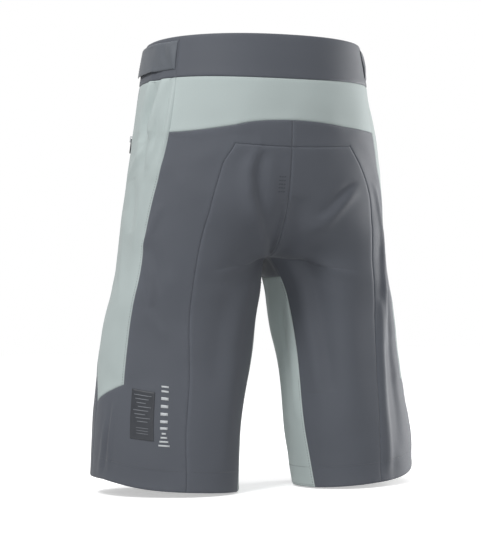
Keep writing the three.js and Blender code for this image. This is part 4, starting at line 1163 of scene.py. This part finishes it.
def mixed(tree, factor, first, second):
    node = tree.nodes.new("ShaderNodeMix")
    node.data_type = "RGBA"
    tree.links.new(factor, node.inputs[0])
    for place, value in ((6, first), (7, second)):
        if isinstance(value, tuple):
            node.inputs[place].default_value = (*value, 1)
        else:
            tree.links.new(value, node.inputs[place])
    return node.outputs[2]


def material(name, roughness, metallic=0.0, sheen=0.0):
    """A new material, its tree and its Principled shader, with the values that are the same all over."""
    made_material = bpy.data.materials.new(name)
    made_material.use_nodes = True
    tree = made_material.node_tree
    shader = tree.nodes["Principled BSDF"]
    shader.inputs["Roughness"].default_value = roughness
    shader.inputs["Metallic"].default_value = metallic
    shader.inputs["Sheen Weight"].default_value = sheen
    return made_material, tree, shader


def tint(colour, factor):
    return tuple(min(1.0, channel * factor) for channel in colour)


def from_screen(red, green, blue):
    """A colour as seen on a screen, 0 to 255, as the linear values that light works in."""
    return tuple(((c / 255 + 0.055) / 1.055) ** 2.4 for c in (red, green, blue))


def bump(tree, shader, height, strength, distance):
    node = tree.nodes.new("ShaderNodeBump")
    node.inputs["Strength"].default_value = strength
    node.inputs["Distance"].default_value = distance
    tree.links.new(height, node.inputs["Height"])
    tree.links.new(node.outputs[0], shader.inputs["Normal"])


def cloth_finish(name, colour, threads, roughness=0.72, sheen=0.12, wear_and_highlight=0.5, spread=0.10, depth=0.35):
    """Woven cloth: two near shades drifting into each other, threads, and seams painted paler, partly worn
    and partly a painted highlight.
    """
    finish, tree, shader = material(name, roughness, sheen=sheen)
    weave = use_group(tree, WEAVE, Threads_per_metre=threads)
    drift = use_group(tree, DRIFT)
    # The seam group's mask: paler cloth near seams, partly worn and partly a painted highlight.
    worn = use_group(tree, SEAM_WEAR_AND_HIGHLIGHT, Amount=wear_and_highlight)
    ground = mixed(tree, drift.outputs["Drift"], tint(colour, 1 - spread), tint(colour, 1 + spread))
    thread_share = math_node(tree, "MULTIPLY", weave.outputs["Shade"], 0.22)
    threaded = mixed(tree, thread_share, ground, tint(colour, 1.3))
    # Here the colour is painted paler near the seams: partly worn cloth, partly a painted highlight.
    paled = mixed(tree, worn.outputs["Wear"], threaded, tint(colour, 1.55))
    tree.links.new(paled, shader.inputs["Base Color"])
    height = math_node(tree, "MULTIPLY_ADD", worn.outputs["Pucker"], 1.4, weave.outputs["Height"])
    bump(tree, shader, height, depth, 0.0002)
    rough = math_node(tree, "MULTIPLY_ADD", drift.outputs["Drift"], 0.12, roughness - 0.06)
    tree.links.new(rough, shader.inputs["Roughness"])
    return finish


SLATE = from_screen(79, 83, 91)
SLATE_BAND = from_screen(75, 79, 87)
TAB_GREY = from_screen(82, 87, 94)
MINT = from_screen(174, 185, 184)
finishes = {
    "slate_cloth": cloth_finish("slate twill", SLATE, 1900),
    "slate_band": cloth_finish("band twill", SLATE_BAND, 1700, roughness=0.66),
    "tab_cloth": cloth_finish("tab twill", TAB_GREY, 1700, roughness=0.6, sheen=0.2),
    "mint_cloth": cloth_finish("mint stretch", MINT, 1500, roughness=0.78, spread=0.06, wear_and_highlight=0.25),
    "lining": cloth_finish("lining", from_screen(66, 69, 75), 2300, roughness=0.6, depth=0.2),
    "label": cloth_finish("satin label", from_screen(196, 200, 202), 3200, roughness=0.42, depth=0.15),
}

# %% [markdown]
# ### Loops, tape, film, rubber, thread and metal
#
# The small finishes differ in kind, not only in colour. Hook-and-loop is rough and fuzzy, zip tape is a fine
# rib, the film patch is nearly smooth with a soft shine, and the sliders are dark nickel, brighter where a
# thumb has polished them.

# %% Small finishes
def fuzzy(name, colour):
    finish, tree, shader = material(name, 0.95, sheen=0.5)
    place = object_place(tree)
    loops = noise_at(tree, place, 1500.0, 4.0)
    tree.links.new(mixed(tree, loops, tint(colour, 0.6), tint(colour, 1.7)), shader.inputs["Base Color"])
    bump(tree, shader, loops, 0.9, 0.0006)
    return finish


def ribbed(name, colour, ribs):
    """Zip tape: fine ribs along the flow of the object, with worn specks."""
    finish, tree, shader = material(name, 0.7, sheen=0.1)
    place = object_place(tree)
    wave = tree.nodes.new("ShaderNodeTexWave")
    wave.bands_direction = "Z"
    wave.inputs["Scale"].default_value = ribs
    wave.inputs["Distortion"].default_value = 0.4
    tree.links.new(place, wave.inputs["Vector"])
    shade = mixed(tree, wave.outputs["Fac"], tint(colour, 0.8), tint(colour, 1.3))
    specks = math_node(tree, "MULTIPLY", noise_at(tree, place, 300.0), 0.4)
    worn = mixed(tree, specks, shade, tint(colour, 1.8))
    tree.links.new(worn, shader.inputs["Base Color"])
    bump(tree, shader, wave.outputs["Fac"], 0.4, 0.0002)
    return finish


def film(name, colour, roughness, grain, spread):
    """Heat-sealed film: smooth, with a faint print of the weave under it and scuffs."""
    finish, tree, shader = material(name, roughness)
    place = object_place(tree)
    scuffs = noise_at(tree, place, grain, 5.0)
    tree.links.new(mixed(tree, scuffs, tint(colour, 1 - spread), tint(colour, 1 + spread)),
                   shader.inputs["Base Color"])
    rough = math_node(tree, "MULTIPLY_ADD", scuffs, 0.25, roughness - 0.12)
    tree.links.new(rough, shader.inputs["Roughness"])
    weave = use_group(tree, WEAVE, Threads_per_metre=1900)
    bump(tree, shader, weave.outputs["Height"], 0.15, 0.0002)
    return finish


def worn_metal(name, colour):
    """Dark nickel, polished bright where the corners stand out."""
    finish, tree, shader = material(name, 0.34, metallic=1.0)
    geometry = tree.nodes.new("ShaderNodeNewGeometry")
    corner = math_node(tree, "MULTIPLY", geometry.outputs["Pointiness"], 0.6)
    brushed = noise_at(tree, object_place(tree), 900.0, 4.0)
    tree.links.new(mixed(tree, corner, colour, tint(colour, 1.7)), shader.inputs["Base Color"])
    rough = math_node(tree, "MULTIPLY_ADD", brushed, 0.25, 0.22)
    tree.links.new(rough, shader.inputs["Roughness"])
    bump(tree, shader, brushed, 0.12, 0.0001)
    return finish


def thread_finish(name, colour):
    """Spun thread: a fine speckle and a soft shine."""
    finish, tree, shader = material(name, 0.55, sheen=0.3)
    speckle = noise_at(tree, object_place(tree), 1800.0, 2.0)
    tree.links.new(mixed(tree, speckle, tint(colour, 0.8), tint(colour, 1.25)), shader.inputs["Base Color"])
    bump(tree, shader, speckle, 0.5, 0.0002)
    return finish


BLACK, PALE = from_screen(44, 46, 51), from_screen(196, 200, 203)
finishes.update({
    "hook_and_loop": fuzzy("hook and loop", BLACK),
    "zip_tape": ribbed("zip tape", from_screen(40, 42, 46), 420.0),
    "coil": film("nylon coil", from_screen(36, 38, 42), 0.38, 500.0, 0.15),
    "gripper": film("silicone grip", from_screen(127, 134, 139), 0.45, 260.0, 0.08),
    "patch": film("film patch", from_screen(51, 54, 60), 0.42, 120.0, 0.10),
    "transfer": film("pale film", PALE, 0.40, 180.0, 0.07),
    "rules": film("grey print", from_screen(118, 122, 128), 0.5, 300.0, 0.10),
    # The vent bars' dark colour is painted shade, for the shaded inside seen through the holes.
    "holes": film("dark holes", from_screen(58, 61, 68), 0.7, 300.0, 0.10),
    "metal": worn_metal("dark nickel", (0.21, 0.22, 0.23)),
    "pull": film("moulded pull", from_screen(40, 42, 46), 0.48, 220.0, 0.12),
    "slate_thread": thread_finish("slate thread", tint(SLATE, 0.86)),
    "mint_thread": thread_finish("mint thread", tint(MINT, 0.9)),
})
print("finishes:", len(finishes))

# %% Give each piece its finish
# The first rule whose word is in the piece's name wins: (word, finish, slot of the record).
RULES = [
    ("mint_stitches", "mint_thread", "mint_cloth"), ("adjuster_stitches", "slate_thread", "tab_cloth"),
    ("stitches", "slate_thread", "slate_cloth"), ("facing", "lining", "lining"),
    ("pocket_bag", "lining", "lining"), ("fly_shield", "lining", "lining"),
    ("underlap", "slate_band", "slate_band"),
    ("cloth_waistband", "slate_band", "slate_band"), ("yoke", "mint_cloth", "mint_cloth"),
    ("cloth_side", "mint_cloth", "mint_cloth"),
    ("inner_thigh", "mint_cloth", "mint_cloth"), ("adjuster_strap", "tab_cloth", "tab_cloth"),
    ("hook_strip", "hook_and_loop", "hook_and_loop"), ("loop_strip", "hook_and_loop", "hook_and_loop"),
    ("film_patch", "patch", "patch"), ("light_mark", "transfer", "transfer"),
    ("patch_rules", "rules", "transfer"), ("vent_eyelets", "holes", "slate_cloth"),
    ("gripper_strip", "gripper", "gripper"),
    ("inside_label", "label", "label"), ("coil", "coil", "zip_tape"), ("tape", "zip_tape", "zip_tape"),
    ("pocket_pull", "pull", "pull"), ("slider", "metal", "metal"), ("snap", "metal", "metal"),
    # This fallback gives the gusset slate cloth, whose dark colour partly stands for painted shade in the
    # crotch.
    ("cloth_", "slate_cloth", "slate_cloth"),
]
kept_nodes = {n: o for n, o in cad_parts.items() if "tape_" in n or n in hardware}
kept_nodes.pop("gripper_tape", None)
for name, obj in {**made, **kept_nodes}.items():
    _, finish, slot = next(rule for rule in RULES if rule[0] in name)
    obj.data.materials.clear()
    obj.data.materials.append(finishes[finish])
print("finished pieces:", len(made), "and", len(kept_nodes), "kept from the frame")

# %% [markdown]
# ## Studio
#
# The shorts stand over a plain pale floor. A light high on the left models the folds, a low one fills from
# the front, and a narrow one far to the right draws the thin sheen down that leg. The sky is brighter above
# than below, as in a room with white walls, so the cloth darkens where it turns down.

# %% Floor and light
FLOOR_HALF, FLOOR_GAP = 8, 0.002
floor_z = float(cad_box[0][2]) - FLOOR_GAP
floor_mesh = bpy.data.meshes.new("floor")
floor_corners = [(x * FLOOR_HALF, y * FLOOR_HALF, floor_z) for x, y in ((-1, -1), (1, -1), (1, 1), (-1, 1))]
floor_mesh.from_pydata(floor_corners, [], [(0, 1, 2, 3)])
floor = bpy.data.objects.new("floor", floor_mesh)
bpy.context.scene.collection.objects.link(floor)
pale, tree, shader = material("pale floor", 0.9)
shade = mixed(tree, noise_at(tree, object_place(tree), 3.0), (0.93, 0.93, 0.93), (0.95, 0.95, 0.95))
tree.links.new(shade, shader.inputs["Base Color"])
shader.inputs["Emission Color"].default_value = (1, 1, 1, 1)
shader.inputs["Emission Strength"].default_value = 0.45
floor_mesh.materials.append(pale)
floor.visible_diffuse = False


def area_light(name, place, aim, size, power):
    data = bpy.data.lights.new(name, "AREA")
    data.shape, data.size, data.size_y, data.energy = "RECTANGLE", size[0], size[1], power
    obj = bpy.data.objects.new(name, data)
    bpy.context.scene.collection.objects.link(obj)
    obj.location = place
    obj.rotation_euler = (Vector(aim) - Vector(place)).to_track_quat("-Z", "Y").to_euler()


middle = (0, 0, -0.28)
area_light("key", (1.4, 0.95, 1.5), middle, (0.5, 0.5), 31)
area_light("fill", (1.0, 2.5, -0.5), middle, (1.0, 1.0), 13)
area_light("edge", (-1.9, -0.4, -0.4), middle, (0.5, 1.4), 52)
world = bpy.data.worlds.new("studio")
world.use_nodes = True
tree = world.node_tree
light_path = tree.nodes.new("ShaderNodeLightPath")
direction = tree.nodes.new("ShaderNodeTexCoord")
parts = tree.nodes.new("ShaderNodeSeparateXYZ")
tree.links.new(direction.outputs["Generated"], parts.inputs[0])
sky = math_node(tree, "MULTIPLY_ADD", parts.outputs["Z"], 0.28, 0.47)
seen = math_node(tree, "MAXIMUM", sky, light_path.outputs["Is Camera Ray"])
tree.nodes["Background"].inputs[0].default_value = (1, 1, 1, 1)
tree.links.new(seen, tree.nodes["Background"].inputs[1])
bpy.context.scene.world = world
bpy.context.scene.view_settings.view_transform = "Standard"

# %% Camera
TURN_LEFT, REACH, EYE = math.radians(22.5), 2.12, -0.35
SENSOR, FOCAL_SHARE = 36, 1640 / 540   # mm, and focal length as a share of the frame's longer side
camera_data = bpy.data.cameras.new("camera")
camera_data.sensor_width = SENSOR
camera_data.lens = SENSOR * FOCAL_SHARE
camera_data.clip_start, camera_data.clip_end = 0.1, 30
camera = bpy.data.objects.new("camera", camera_data)
bpy.context.scene.collection.objects.link(camera)
camera.location = (REACH * math.sin(TURN_LEFT), REACH * math.cos(TURN_LEFT), EYE)
yaw, pitch, roll = TURN_LEFT - math.radians(0.5), math.radians(1.7), math.radians(0.7)
look = Vector((-math.sin(yaw) * math.cos(pitch), -math.cos(yaw) * math.cos(pitch), math.sin(pitch)))
camera.rotation_euler = (Quaternion(look, roll) @ look.to_track_quat("-Z", "Y")).to_euler()
bpy.context.scene.camera = camera
